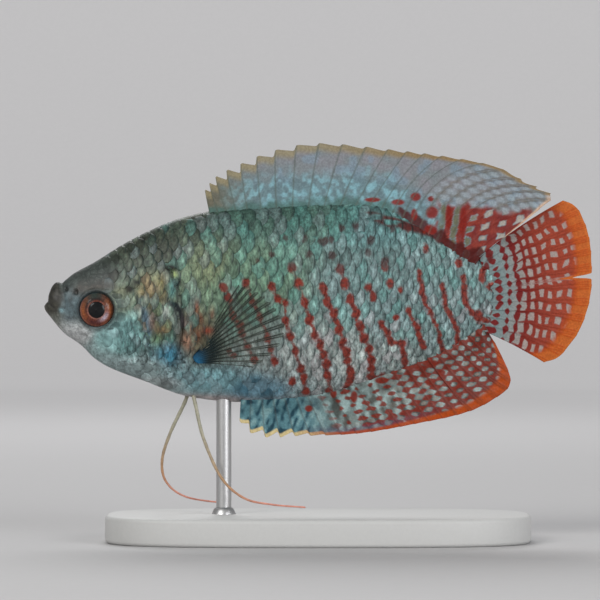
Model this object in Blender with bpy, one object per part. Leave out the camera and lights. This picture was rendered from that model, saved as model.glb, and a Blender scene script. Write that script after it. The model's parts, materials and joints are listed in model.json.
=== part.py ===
"""A male dwarf gourami at life size, swimming level with all fins spread, on a plain display stand.

Sizes are in millimetres and become metres as each mesh is made. Along the fish, x counts back from the
tip of the lower lip, y counts from the middle plane to the right-hand side, and h counts up from the
level of the mouth. place() turns such a point into the model's frame, where +Z is up, the head points
along -X and the origin is under the middle of the base.
"""

import math

import bmesh
import bpy
from mathutils import Matrix, Vector

MM = 0.001

# Overall sizes
TOTAL_LENGTH = 80.0
MOUTH_LEVEL = 34.5
GAP = 0.3
ROOT_GAP = 0.33
BODY_RING = 28
BODY_STATIONS = 46

# Body outline, as (x, h) along the back and the belly, and (x, half width)
BACK = [(1.5, 2.6), (4.4, 4.7), (7.3, 6.4), (12.4, 9.5), (18.4, 12.3), (24.2, 13.8), (32.4, 14.45),
        (44.7, 15.1), (49.0, 14.9), (52.4, 13.4), (57.4, 10.4), (61.3, 8.05), (65.0, 7.1)]
BELLY = [(1.5, -2.0), (2.85, -3.8), (4.2, -4.95), (5.5, -6.05), (7.3, -7.9), (9.6, -9.3), (14.75, -11.3),
         (20.6, -13.4), (28.6, -14.3), (37.4, -13.9), (43.0, -12.95), (49.1, -11.1), (57.8, -8.2),
         (61.5, -6.4), (65.0, -3.9)]
HALF_WIDTH = [(1.5, 1.35), (3.5, 2.3), (7.8, 3.5), (13.0, 4.35), (20.0, 5.05), (28.0, 5.25),
              (38.0, 4.9), (48.0, 3.9), (56.0, 2.75), (62.0, 1.75), (65.0, 1.25)]
WIDEST_SHARE = 0.48
RIDGE_POWER = 1.1
FLANK_POWER = 0.92
NOSE_TIP, NOSE_ROUND = 1.0, 2.2
STALK_ROUND, STALK_TIP = 64.6, 66.4

# Cuts between head, trunk and tail stalk
GILL_EDGE_X, GILL_EDGE_H, GILL_EDGE_BEND = 20.3, -2.2, 0.037
STALK_CUT_X = 60.6

# Gill covers
COVER_H, COVER_LENGTH, COVER_HALF_HEIGHT = -2.5, 5.8, 6.9
COVER_DEPTH = 1.2

# Eyes and nostrils
EYE_X, EYE_H, EYE_RADIUS = 7.8, -0.7, 2.65
EYE_HALF_DEPTH, EYE_BULGE = 1.55, 0.75
NOSTRILS = [(3.3, 2.3, 0.32), (4.7, 1.9, 0.38)]
NOSTRIL_DEPTH = 0.6

# Lips: (x, y, h, half thickness, half height) from the middle of the mouth to its corner
UPPER_LIP = [(1.75, 0.0, 1.85, 0.85, 1.6), (2.15, 1.15, 1.35, 0.85, 1.35), (3.0, 1.85, 0.1, 0.7, 0.95),
             (3.75, 2.25, -1.45, 0.45, 0.5)]
LOWER_LIP = [(1.15, 0.0, -0.8, 1.1, 0.95), (1.75, 1.1, -1.3, 0.95, 0.95), (2.75, 1.75, -1.95, 0.7, 0.8),
             (3.8, 2.2, -2.75, 0.45, 0.5)]

# Fins in general: half thickness of the web, and of a ray at its root and its tip
WEB, RAY_ROOT, RAY_TIP = 0.26, 0.5, 0.34
RAY_WIDTH, RAY_TIP_WIDTH = 0.26, 0.18
CROWDING = 0.3
TIP_STEP = 0.12
EDGE = 0.16
ROOT_SINK = 1.5
FIN_ROWS = 5

# Dorsal fin: roots and tips as (ray number, x, h)
DORSAL_SPINES, DORSAL_RAYS = 16, 25
DORSAL_ROOTS = [(0, 24.4), (4, 29.9), (8, 38.4), (12, 46.9), (15, 52.0), (24, 62.9)]
DORSAL_TIPS = [(0, 23.4, 16.9), (2, 24.9, 18.9), (4, 28.6, 20.8), (6, 33.7, 22.75), (8, 40.1, 23.7),
               (11, 50.2, 22.8), (14, 58.1, 21.8), (16, 64.2, 20.9), (18, 69.3, 18.5), (19.5, 73.0, 16.7),
               (20.5, 74.3, 15.8), (22, 72.2, 13.9), (24, 67.2, 9.9)]

# Anal fin
ANAL_SPINES, ANAL_RAYS = 16, 24
ANAL_ROOTS = [(0, 28.8), (3, 33.3), (9, 43.0), (16, 55.6), (23, 64.2)]
ANAL_TIPS = [(0, 28.5, -17.2), (1, 30.0, -18.8), (2.2, 32.7, -19.5), (4, 36.6, -19.2), (8, 45.6, -18.8),
             (12, 54.1, -17.4), (16, 62.3, -15.5), (18.5, 67.0, -12.9), (19.8, 68.1, -11.4),
             (21, 67.8, -9.6), (23, 65.9, -5.6)]

# Tail fin: tips as (ray number, x, h)
CAUDAL_RAYS, CAUDAL_ROWS = 12, 7
CAUDAL_TOP, CAUDAL_BOTTOM = 6.1, -3.0
CAUDAL_ROOT_X, CAUDAL_ROOT_BOW = 63.4, 1.0
CAUDAL_TIPS = [(0, 76.3, 14.7), (1, 78.3, 13.4), (2.6, 79.5, 10.6), (4.5, 80.0, 6.8), (6.5, 79.9, 1.6),
               (8.5, 78.7, -3.6), (9.7, 76.9, -6.9), (10.4, 75.2, -8.1), (11, 73.2, -8.3)]
CAUDAL_SLIT_AFTER, CAUDAL_SLIT = 5, 2.6
FORK_SHARE = 0.5
FORK_INNER, FORK_OUTER = (0.45, 1.9), (1.0, 2.6)

# Pectoral fins, in their own plane: angle above the fin's axis and length of each ray
PECTORAL_RAYS = 9
PECTORAL_ROOT = (23.0, -7.7)
PECTORAL_SPREAD = [(0, 56.0), (8, -5.0)]
PECTORAL_LENGTHS = [(0, 11.0), (3, 13.2), (5.5, 13.6), (8, 7.4)]
PECTORAL_SPLAY = 20.0
PECTORAL_LOBE = 0.6
PECTORAL_SINK, PECTORAL_ROOT_HALF = 1.0, 1.5

# Pelvic fins: one long thread a side, as (x, outward y, h), and its radius from root to tip
LEFT_THREAD = [(21.7, 0.7, -12.9), (22.1, 0.9, -14.6), (23.3, 1.6, -19.5), (25.9, 2.9, -25.1),
               (29.2, 4.0, -28.0), (33.2, 4.6, -28.9), (38.0, 4.7, -29.3)]
RIGHT_THREAD = [(21.0, 0.7, -12.6), (20.4, 0.9, -14.4), (18.3, 1.7, -18.8), (17.1, 2.6, -22.8),
                (17.7, 3.4, -26.0), (20.6, 4.0, -28.2), (26.5, 4.4, -29.2)]
THREAD_ROOT_RADIUS, THREAD_TIP_RADIUS = 0.36, 0.16
THREAD_SIDES, THREAD_SEGMENTS = 8, 22

# Sideways sway of the spread fins, negative towards the fish's left
DORSAL_SWAY, ANAL_SWAY, CAUDAL_SWAY = -1.5, 0.9, 1.3

# Display stand
BASE_HALF_LENGTH, BASE_HALF_WIDTH, BASE_HEIGHT = 31.0, 17.0, 4.0
BASE_CHAMFER, BASE_CORNER_POWER = 0.6, 3.2
BASE_SIDES = 48
ROD_X, ROD_RADIUS, ROD_SIDES = 26.2, 1.1, 20
ROD_SOCKET, ROD_FOOT_DEPTH = 2.6, 2.4

# Colours, as red, green, blue, roughness and metallic value
FLANK = (0.24, 0.38, 0.35, 0.45, 0.25)
HEAD_SKIN = (0.22, 0.30, 0.30, 0.45, 0.2)
LIP_SKIN = (0.13, 0.12, 0.10, 0.5, 0.0)
EYE_RED = (0.35, 0.10, 0.04, 0.15, 0.1)
FIN_BLUE = (0.30, 0.42, 0.46, 0.4, 0.1)
FIN_RED = (0.55, 0.13, 0.05, 0.4, 0.05)
THREAD_TAN = (0.45, 0.30, 0.20, 0.5, 0.0)
BASE_WHITE = (0.72, 0.72, 0.71, 0.4, 0.0)
ROD_STEEL = (0.62, 0.62, 0.62, 0.3, 1.0)


def curve(points, at, column=1):
    """The value at one place of a smooth curve through points, which are rows of (place, value, ...)."""
    places = [row[0] for row in points]
    values = [row[column] for row in points]
    at = min(max(at, places[0]), places[-1])
    i = max(k for k in range(len(points) - 1) if places[k] <= at)
    step = places[i + 1] - places[i]

    def slope(k):
        low, high = max(k - 1, 0), min(k + 1, len(points) - 1)
        return (values[high] - values[low]) / (places[high] - places[low])

    t = (at - places[i]) / step
    rise = values[i + 1] - values[i]
    start, end = slope(i) * step, slope(i + 1) * step
    return values[i] + t * start + t * t * (3 * rise - 2 * start - end) + t ** 3 * (start + end - 2 * rise)


def ease(t):
    """0 to 1 with soft ends."""
    t = min(max(t, 0.0), 1.0)
    return t * t * (3 - 2 * t)


def mixed(a, b, t):
    return a + (b - a) * t


def signed_power(value, power):
    return math.copysign(abs(value) ** power, value)


def place(x, y, h):
    """A point of the fish in the model's frame, in metres."""
    return Vector((x - TOTAL_LENGTH / 2, y, h + MOUTH_LEVEL)) * MM


# The body's surface

def section(x, grow=0.0):
    """Top, widest level, bottom and half width of the body at x, grown all round by grow."""
    if x < NOSE_ROUND:
        shut = (NOSE_ROUND - x) / (NOSE_ROUND - NOSE_TIP + grow)
    elif x > STALK_ROUND:
        shut = (x - STALK_ROUND) / (STALK_TIP + grow - STALK_ROUND)
    else:
        shut = 0.0
    share = math.sqrt(max(1.0 - shut * shut, 0.0))
    top, bottom = curve(BACK, x), curve(BELLY, x)
    level = mixed(bottom, top, WIDEST_SHARE)
    return (level + (top - level + grow) * share, level, level - (level - bottom + grow) * share,
            (curve(HALF_WIDTH, x) + grow) * share)


def ring(x, grow):
    """The points round the body at x."""
    top, level, bottom, half_width = section(x, grow)
    points = []
    for k in range(BODY_RING):
        angle = math.tau * k / BODY_RING
        height = (top - level) if math.sin(angle) > 0 else (level - bottom)
        points.append(place(x, half_width * signed_power(math.cos(angle), RIDGE_POWER),
                            level + height * signed_power(math.sin(angle), FLANK_POWER)))
    return points


def side_y(x, h, grow=0.0):
    """How far the body's side is from the middle plane at a place on it."""
    top, level, bottom, half_width = section(x, grow)
    share = (h - level) / ((top - level) if h > level else (level - bottom))
    sine = min(abs(share), 1.0) ** (1 / FLANK_POWER)
    return half_width * math.sqrt(1 - sine * sine) ** RIDGE_POWER


def stations(first, last, grow):
    """Places along the body, close together at the rounded nose and stalk."""
    places = []
    for k in range(BODY_STATIONS + 1):
        share = k / BODY_STATIONS
        places.append(mixed(first - grow, last + grow, share - math.sin(math.tau * share) / 9))
    return places


# Meshes

def finish(name, bm, colour):
    """Turns a bmesh into a named object with a material of its own, its faces pointing out."""
    bmesh.ops.recalc_face_normals(bm, faces=bm.faces)
    if bm.calc_volume(signed=True) < 0:
        bmesh.ops.reverse_faces(bm, faces=bm.faces)
    mesh = bpy.data.meshes.new(name)
    bm.to_mesh(mesh)
    bm.free()
    obj = bpy.data.objects.new(name, mesh)
    bpy.context.scene.collection.objects.link(obj)
    if colour:
        material = bpy.data.materials.new(name)
        material.use_nodes = True
        shader = material.node_tree.nodes["Principled BSDF"]
        shader.inputs["Base Color"].default_value = (*colour[:3], 1.0)
        shader.inputs["Roughness"].default_value = colour[3]
        shader.inputs["Metallic"].default_value = colour[4]
        mesh.materials.append(material)
        mesh.shade_smooth()
    return obj


def loft(name, rings, colour=None, poles=None):
    """One closed body through rings of points. poles are the two end points, or None for flat ends."""
    bm = bmesh.new()
    rows = [[bm.verts.new(point) for point in points] for points in rings]
    count = len(rows[0])
    for low, high in zip(rows, rows[1:]):
        for k in range(count):
            bm.faces.new((low[k], low[(k + 1) % count], high[(k + 1) % count], high[k]))
    for end, row in enumerate((rows[0], rows[-1])):
        if poles is None:
            bm.faces.new(row)
            continue
        pole = bm.verts.new(poles[end])
        for k in range(count):
            bm.faces.new((row[k], row[(k + 1) % count], pole))
    return finish(name, bm, colour)


def body(name, colour=None, first=NOSE_TIP, last=STALK_TIP, grow=0.0):
    """The body's closed surface between two places, grown all round by grow."""
    places = stations(first, last, grow)
    middle = [section(x, grow)[1] for x in (places[0], places[-1])]
    poles = [place(places[0], 0, middle[0]), place(places[-1], 0, middle[1])]
    return loft(name, [ring(x, grow) for x in places[1:-1]], colour, poles)


def prism(name, outline, near, far):
    """A solid between two y planes with an outline of (x, h) points."""
    return loft(name, [[place(x, y, h) for x, h in outline] for y in (near, far)])


def ellipsoid(name, centre, radii, colour=None, segments=20, rings=10):
    """A ball stretched along the axes, with its poles on the y axis."""
    x, y, h = centre
    rows = []
    for r in range(1, rings):
        angle = math.pi * r / rings
        rows.append([place(x + radii[0] * math.sin(angle) * math.cos(math.tau * k / segments),
                           y - radii[1] * math.cos(angle),
                           h + radii[2] * math.sin(angle) * math.sin(math.tau * k / segments))
                     for k in range(segments)])
    poles = [place(x, y - radii[1], h), place(x, y + radii[1], h)]
    return loft(name, rows, colour, poles)


def sweep(name, spine, colour, sides):
    """A closed tube along a spine of (centre, half thickness, half height) in millimetres, tapered shut."""
    rings = []
    for k, (centre, thick, high) in enumerate(spine):
        before, after = spine[max(k - 1, 0)][0], spine[min(k + 1, len(spine) - 1)][0]
        along = (after - before).normalized()
        across = along.cross(Vector((0, 0, 1)))
        if across.length < 0.2:
            across = Vector((0, 1, 0))
        across.normalize()
        up = across.cross(along)
        rings.append([place(*(centre + across * thick * math.cos(math.tau * s / sides)
                              + up * high * math.sin(math.tau * s / sides))) for s in range(sides)])
    poles = [place(*(spine[0][0] + (spine[0][0] - spine[1][0]) * 0.3)),
             place(*(spine[-1][0] + (spine[-1][0] - spine[-2][0]) * 0.3))]
    return loft(name, rings, colour, poles)


def largest_part(obj):
    """Drops every loose scrap that a cut has left, so that one closed surface is kept."""
    bm = bmesh.new()
    bm.from_mesh(obj.data)
    left, groups = set(bm.verts), []
    while left:
        group, edge = set(), [left.pop()]
        while edge:
            vert = edge.pop()
            group.add(vert)
            near = {e.other_vert(vert) for e in vert.link_edges} & left
            left -= near
            edge.extend(near)
        groups.append(group)
    groups.sort(key=len)
    bmesh.ops.delete(bm, geom=[v for group in groups[:-1] for v in group], context="VERTS")
    bm.to_mesh(obj.data)
    bm.free()


def carve(obj, operation, others, solver="EXACT"):
    """Cuts obj by, or joins it to, other closed objects, which are then removed."""
    for other in others:
        modifier = obj.modifiers.new(operation.title(), "BOOLEAN")
        modifier.operation = operation
        modifier.solver = solver
        modifier.object = other
    graph = bpy.context.evaluated_depsgraph_get()
    mesh = bpy.data.meshes.new_from_object(obj.evaluated_get(graph), depsgraph=graph)
    obj.modifiers.clear()
    obj.data = mesh
    for other in others:
        bpy.data.objects.remove(other)
    largest_part(obj)
    return obj


# Head, trunk and tail stalk

def gill_edge(h, shift=0.0):
    """x of the gill opening, where the head ends, at a height."""
    return GILL_EDGE_X + shift - GILL_EDGE_BEND * (h - GILL_EDGE_H) ** 2


def slab(name, front, back):
    """Everything between two curves of x against h, as a cutter wider than the body."""
    heights = [-20 + 40 * k / 24 for k in range(25)]
    outline = [(front(h), h) for h in heights] + [(back(h), h) for h in reversed(heights)]
    return prism(name, outline, -9, 9)


def cover_outline(grow):
    """The outline of a gill cover, which runs on past the gill opening."""
    return [(GILL_EDGE_X + (COVER_LENGTH + grow) * math.cos(math.tau * k / 32),
             COVER_H + (COVER_HALF_HEIGHT + grow) * math.sin(math.tau * k / 32)) for k in range(32)]


def cover_block(name, side, grow, depth):
    """The block that a gill cover fills, from depth under the skin to past it."""
    block = prism(name, cover_outline(grow), 0, side * 9)
    core = body(name + "_core", first=9.0, last=26.0, grow=-depth)
    return carve(block, "DIFFERENCE", [core])


def build_gill_cover(name, side):
    cover = body(name, HEAD_SKIN)
    block = cover_block(name + "_block", side, 0.0, COVER_DEPTH)
    front = slab(name + "_front", lambda h: -5.0, lambda h: gill_edge(h, -GAP / 2))
    return carve(cover, "INTERSECT", [front, block])


def eye_centre(side):
    return (EYE_X, side * (side_y(EYE_X, EYE_H) + EYE_BULGE - EYE_HALF_DEPTH), EYE_H)


def build_eye(name, side):
    return ellipsoid(name, eye_centre(side), (EYE_RADIUS, EYE_HALF_DEPTH, EYE_RADIUS), EYE_RED)


def nostril_cutter(name, side, x, h, radius):
    outline = [(x + radius * math.cos(math.tau * k / 8), h + 1.2 * radius * math.sin(math.tau * k / 8))
               for k in range(8)]
    surface = side_y(x, h)
    return prism(name, outline, side * (surface - NOSTRIL_DEPTH), side * (surface + 2))


def build_head():
    head = body("head", HEAD_SKIN)
    carve(head, "INTERSECT", [slab("head_front", lambda h: -5.0, lambda h: gill_edge(h, -GAP / 2))])
    cutters = []
    for side in (-1, 1):
        radius = EYE_RADIUS + GAP
        cutters.append(ellipsoid("socket", eye_centre(side), (radius, EYE_HALF_DEPTH + GAP, radius)))
        cutters.append(cover_block("cover_seat", side, GAP, COVER_DEPTH + GAP))
        cutters += [nostril_cutter("nostril", side, *size) for size in NOSTRILS]
    return carve(head, "DIFFERENCE", cutters)


def build_trunk():
    trunk = body("trunk", FLANK)
    middle = slab("trunk_middle", lambda h: gill_edge(h, GAP / 2), lambda h: STALK_CUT_X - GAP / 2)
    carve(trunk, "INTERSECT", [middle])
    return carve(trunk, "DIFFERENCE", [rod("rod_socket", GAP, GAP)])


def build_stalk():
    stalk = body("tail_stalk", FLANK)
    return carve(stalk, "INTERSECT", [slab("stalk_rear", lambda h: STALK_CUT_X + GAP / 2, lambda h: 75.0)])


# Lips

def lip_spine(half, steps=6):
    """A whole lip from corner to corner, out of its rows from the middle to one corner."""
    rows = [(k, *row) for k, row in enumerate(half)]
    last = len(rows) - 1
    spine = []
    for k in range(-steps, steps + 1):
        share = abs(k) / steps * last
        x, y, h, thick, high = (curve(rows, share, column) for column in range(1, 6))
        spine.append((Vector((x, math.copysign(y, k), h)), thick, high))
    return spine


def build_lips():
    head = dict(last=14.0, grow=ROOT_GAP)
    upper = sweep("upper_lip", lip_spine(UPPER_LIP), LIP_SKIN, 12)
    carve(upper, "DIFFERENCE", [body("nose", **head)])
    lower = sweep("lower_lip", lip_spine(LOWER_LIP), LIP_SKIN, 12)
    wider = [(centre, thick + GAP, high + GAP) for centre, thick, high in lip_spine(UPPER_LIP)]
    carve(lower, "DIFFERENCE", [body("nose", **head), sweep("mouth_line", wider, None, 12)], "MANIFOLD")


# Fins

class Ray:
    """One fin ray or spine: a curved line from its root to its tip in the fin's own plane."""

    def __init__(self, root, tip, bend=0.0, step=0.0):
        self.root, self.tip, self.step = Vector(root), Vector(tip), step
        chord = self.tip - self.root
        self.knee = self.root + chord * 0.5 + Vector((-chord.y, chord.x)) * bend
        self.hand, self.root_width, self.tip_width = 1, RAY_WIDTH, RAY_TIP_WIDTH

    def fit(self, neighbour, hand):
        """Sets which side the next ray is on, and makes the ray narrow enough to stay clear of it."""
        self.hand = hand
        self.root_width = min(RAY_WIDTH, CROWDING * (neighbour.root - self.root).length)
        self.tip_width = min(RAY_TIP_WIDTH, CROWDING * (neighbour.tip - self.tip).length)

    def at(self, t):
        return self.root * (1 - t) ** 2 + self.knee * (2 * t * (1 - t)) + self.tip * t * t

    def beside(self, t, offset):
        """The point at t, moved square to the ray, towards the next ray where offset is positive."""
        along = (self.knee - self.root) * (1 - t) + (self.tip - self.knee) * t
        along.normalize()
        return self.at(t) + Vector((along.y, -along.x)) * offset * self.hand


def ray_columns(ray, forked=False):
    """The columns of one ray: its front foot, its ridge or forked ridge, and its rear foot.

    A column gives the point and the half thickness at a share t of the ray's length. The web in front
    of a spine stops short of its tip by the ray's step, which makes the fin's saw edge."""
    length = (ray.tip - ray.root).length

    def foot(side, stop):
        def column(t):
            width = mixed(ray.root_width, ray.tip_width, t)
            return ray.beside(t * stop, side * width), WEB
        return column

    def ridge(t):
        high = mixed(RAY_ROOT, RAY_TIP, t)
        return ray.at(t), mixed(high, WEB, ease((t - FORK_SHARE) * 4)) if forked else high

    def fork(side, narrow, wide, high):
        def column(t):
            spread = narrow * ray.root_width + wide * ray.tip_width * ease((t - FORK_SHARE) / (1 - FORK_SHARE))
            return ray.beside(t, side * spread), mixed(high, min(high, RAY_TIP), t)
        return column

    if forked:
        branch, outer = (FORK_INNER + (mixed(RAY_ROOT, WEB, 0.4),)), (FORK_OUTER + (WEB,))
        return [fork(-1, *outer), fork(-1, *branch), ridge, fork(1, *branch), fork(1, *outer)]
    return [foot(-1, 1 - ray.step / length), ridge, foot(1, 1 - TIP_STEP / length)]


def web_column(before, after, dip):
    """The middle of the web between two rays, its edge dipping in a little."""
    def column(t):
        low, high = before(t * (1 - dip))[0], after(t * (1 - dip))[0]
        return (low + high) / 2, WEB
    return column


def fin(name, columns, rows, sway, put, colour):
    """One closed sheet through the columns. Both faces are split into triangles alike.

    sway gives the sideways shift at a point of the fin, and put turns a point of the fin's plane and a
    shift off it into the model's frame."""
    bm = bmesh.new()
    grid = []
    for column in columns:
        line = []
        for r in range(rows + 1):
            t = r / rows
            point, half = column(t)
            half = mixed(half, EDGE, ease((t - 0.8) * 5) * 0.8)
            shift = sway(point, t)
            line.append([bm.verts.new(put(point, shift + side * half)) for side in (-1, 1)])
        grid.append(line)
    for a, b in zip(grid, grid[1:]):
        for r in range(rows):
            for side in (0, 1):
                bm.faces.new((a[r][side], b[r][side], b[r + 1][side]))
                bm.faces.new((a[r][side], b[r + 1][side], a[r + 1][side]))
    rim = [line[0] for line in grid] + grid[-1][1:] + [line[-1] for line in reversed(grid[:-1])]
    rim += grid[0][-2:0:-1]
    for a, b in zip(rim, rim[1:] + rim[:1]):
        bm.faces.new((a[0], a[1], b[1]))
        bm.faces.new((a[0], b[1], b[0]))
    return finish(name, bm, colour)


def upright(point, shift):
    """A fin's plane is the middle plane of the fish."""
    return place(point.x, shift, point.y)


def fan_columns(rays, dip=0.03, forked=False, web=True, slit_after=None, slit=0.0):
    """All columns of a fin, with the middle of the web between each two rays."""
    columns = []
    onward = rays[-1].root - rays[0].root
    for number, ray in enumerate(rays):
        along = (ray.tip - ray.root).normalized()
        hand = math.copysign(1, Vector((along.y, -along.x)).dot(onward))
        ray.fit(rays[number - 1] if number else rays[1], hand)
        own = ray_columns(ray, forked)
        if columns and (web or number - 1 == slit_after):
            cut = slit / (ray.tip - ray.root).length if number - 1 == slit_after else dip
            columns.append(web_column(columns[-1], own[0], cut))
        columns += own
    return columns


def saw_step(number, spines):
    """How far the web stops short of a spine's tip. It is most at the front of the fin."""
    return mixed(1.15, 0.35, number / spines) if number < spines else 0.12


def dorsal_rays():
    rays = []
    for n in range(DORSAL_RAYS):
        x = curve(DORSAL_ROOTS, n)
        root = (x, section(x)[0] - ROOT_SINK)
        bend = 0.02 if n < DORSAL_SPINES else mixed(0.05, 0.14, (n - DORSAL_SPINES) / 9)
        step = saw_step(n, DORSAL_SPINES)
        rays.append(Ray(root, (curve(DORSAL_TIPS, n), curve(DORSAL_TIPS, n, 2)), bend, step))
    return rays


def anal_rays():
    rays = []
    for n in range(ANAL_RAYS):
        x = curve(ANAL_ROOTS, n)
        root = (x, section(x)[2] + ROOT_SINK)
        bend = -0.02 if n < ANAL_SPINES else -0.06
        step = saw_step(n, ANAL_SPINES)
        rays.append(Ray(root, (curve(ANAL_TIPS, n), curve(ANAL_TIPS, n, 2)), bend, step))
    return rays


def caudal_rays():
    rays = []
    for n in range(CAUDAL_RAYS):
        share = n / (CAUDAL_RAYS - 1)
        bow = CAUDAL_ROOT_BOW * (1 - (2 * share - 1) ** 2)
        root = (CAUDAL_ROOT_X + bow, mixed(CAUDAL_TOP, CAUDAL_BOTTOM, share))
        tip = (curve(CAUDAL_TIPS, n), curve(CAUDAL_TIPS, n, 2))
        rays.append(Ray(root, tip, mixed(-0.03, 0.05, share), 0.1))
    return rays


def rear_sway(amount, start, end):
    """A sway that grows towards the rear of a fin and towards its edge."""
    def sway(point, t):
        return amount * ease((point.x - start) / (end - start)) * t
    return sway


def build_median_fins():
    dorsal = fin("dorsal_fin", fan_columns(dorsal_rays()), FIN_ROWS, rear_sway(DORSAL_SWAY, 48, 74),
                 upright, FIN_BLUE)
    anal = fin("anal_fin", fan_columns(anal_rays(), web=False), FIN_ROWS, rear_sway(ANAL_SWAY, 44, 68),
               upright, FIN_RED)
    columns = fan_columns(caudal_rays(), forked=True, web=False, slit_after=CAUDAL_SLIT_AFTER,
                          slit=CAUDAL_SLIT)
    caudal = fin("caudal_fin", columns, CAUDAL_ROWS, rear_sway(CAUDAL_SWAY, 64, 80), upright, FIN_RED)
    for obj in (dorsal, anal, caudal):
        carve(obj, "DIFFERENCE", [body("root_gap", grow=ROOT_GAP)])


def build_pectoral(name, side):
    """A pectoral fin, fanned in its own plane, which swings out from the flank by the splay angle."""
    rays = []
    for n in range(PECTORAL_RAYS):
        angle = math.radians(curve(PECTORAL_SPREAD, n))
        length = curve(PECTORAL_LENGTHS, n)
        lean = Vector((math.cos(angle), math.sin(angle)))
        start = Vector((-PECTORAL_SINK, mixed(1, -1, n / (PECTORAL_RAYS - 1)) * PECTORAL_ROOT_HALF))
        rays.append(Ray(start, start + lean * (length + PECTORAL_SINK), 0.03, 0.15))

    x, h = PECTORAL_ROOT
    hinge = Vector((x, side * side_y(x, h), h))
    turn = Matrix.Rotation(math.radians(side * PECTORAL_SPLAY), 3, "Z")

    def put(point, shift):
        return place(*(hinge + turn @ Vector((point.x, shift, point.y))))

    def lobed(column):
        def thicker(t):
            point, half = column(t)
            return point, half + PECTORAL_LOBE * (1 - ease(t * 4.5))
        return thicker

    columns = [lobed(column) for column in fan_columns(rays, web=False)]
    obj = fin(name, columns, 5, lambda point, t: side * 0.5 * t * t, put, FIN_BLUE)
    return carve(obj, "DIFFERENCE", [body("root_gap", grow=ROOT_GAP)])


def build_pelvic(name, side, points):
    """A pelvic fin, which in this fish is one long tapering thread."""
    rows = [(k, *point) for k, point in enumerate(points)]
    spine = []
    for k in range(THREAD_SEGMENTS + 1):
        share = k / THREAD_SEGMENTS
        x, y, h = (curve(rows, share * (len(rows) - 1), column) for column in (1, 2, 3))
        radius = mixed(THREAD_ROOT_RADIUS, THREAD_TIP_RADIUS, share)
        spine.append((Vector((x, side * y, h)), radius, radius))
    obj = sweep(name, spine, THREAD_TAN, THREAD_SIDES)
    return carve(obj, "DIFFERENCE", [body("root_gap", grow=ROOT_GAP)])


# Display stand

def disc(radius, x, h):
    return [place(x + radius * math.cos(math.tau * k / ROD_SIDES),
                  radius * math.sin(math.tau * k / ROD_SIDES), h) for k in range(ROD_SIDES)]


def rod(name, wider=0.0, longer=0.0, colour=None):
    """The upright rod, or the clearance round it. It ends in the belly above and in the base below."""
    foot = BASE_HEIGHT - ROD_FOOT_DEPTH - MOUTH_LEVEL
    top = section(ROD_X)[2] + ROD_SOCKET
    ends = (foot - longer, top + longer)
    return loft(name, [disc(ROD_RADIUS + wider, ROD_X, h) for h in ends], colour)


def build_stand():
    rows = []
    for inset, height in ((BASE_CHAMFER, 0), (0, BASE_CHAMFER), (0, BASE_HEIGHT - BASE_CHAMFER),
                          (BASE_CHAMFER, BASE_HEIGHT)):
        row = []
        for k in range(BASE_SIDES):
            angle = math.tau * k / BASE_SIDES
            row.append(Vector(((BASE_HALF_LENGTH - inset) * signed_power(math.cos(angle), 2 / BASE_CORNER_POWER),
                               (BASE_HALF_WIDTH - inset) * signed_power(math.sin(angle), 2 / BASE_CORNER_POWER),
                               height)) * MM)
        rows.append(row)
    base = loft("stand_base", rows, BASE_WHITE)
    base.data.set_sharp_from_angle(angle=math.radians(30))
    carve(base, "DIFFERENCE", [rod("foot_socket", GAP, GAP)])
    upright_rod = rod("stand_rod", colour=ROD_STEEL)
    upright_rod.data.set_sharp_from_angle(angle=math.radians(30))


def main():
    for obj in list(bpy.data.objects):
        bpy.data.objects.remove(obj)
    build_head()
    build_trunk()
    build_stalk()
    build_lips()
    build_median_fins()
    for side, word in ((-1, "left"), (1, "right")):
        build_gill_cover("gill_cover_" + word, side)
        build_eye("eye_" + word, side)
        build_pectoral("pectoral_fin_" + word, side)
    build_pelvic("pelvic_fin_left", -1, LEFT_THREAD)
    build_pelvic("pelvic_fin_right", 1, RIGHT_THREAD)
    build_stand()


main()
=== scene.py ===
"""The looks of a male dwarf gourami at life size, on a plain display stand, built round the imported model.

Sizes are in millimetres. Along the fish, x counts back from the tip of the lower lip, y counts from the
middle plane to the right-hand side, and h counts up from the level of the mouth. place() turns such points
into the model's frame. Colours are written as red, green and blue from 0 to 255, as a screen shows them,
and the colours of light from 0 to 1.
"""

import json
import math

import bpy
import numpy as np
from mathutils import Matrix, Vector

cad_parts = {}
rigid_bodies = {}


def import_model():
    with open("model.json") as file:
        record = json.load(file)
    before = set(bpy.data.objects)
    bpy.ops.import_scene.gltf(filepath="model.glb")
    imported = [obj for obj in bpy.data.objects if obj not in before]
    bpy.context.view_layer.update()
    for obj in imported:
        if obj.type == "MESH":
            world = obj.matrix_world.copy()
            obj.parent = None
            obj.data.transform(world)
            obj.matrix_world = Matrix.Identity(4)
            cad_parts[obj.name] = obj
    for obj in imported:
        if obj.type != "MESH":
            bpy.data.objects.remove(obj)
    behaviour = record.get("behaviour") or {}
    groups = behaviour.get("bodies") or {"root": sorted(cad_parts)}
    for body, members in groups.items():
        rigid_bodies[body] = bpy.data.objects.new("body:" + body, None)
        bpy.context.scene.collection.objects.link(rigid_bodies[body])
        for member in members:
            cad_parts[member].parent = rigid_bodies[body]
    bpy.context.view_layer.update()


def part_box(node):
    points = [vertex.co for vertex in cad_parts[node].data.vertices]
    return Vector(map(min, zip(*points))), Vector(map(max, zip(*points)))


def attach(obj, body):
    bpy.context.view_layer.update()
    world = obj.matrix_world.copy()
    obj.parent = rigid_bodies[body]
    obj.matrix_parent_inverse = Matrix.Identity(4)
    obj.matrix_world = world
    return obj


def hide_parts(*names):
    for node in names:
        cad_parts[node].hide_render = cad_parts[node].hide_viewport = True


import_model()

MM = 0.001
EYE_LEVEL = -0.7
EYE_BACK = 7.8

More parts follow.
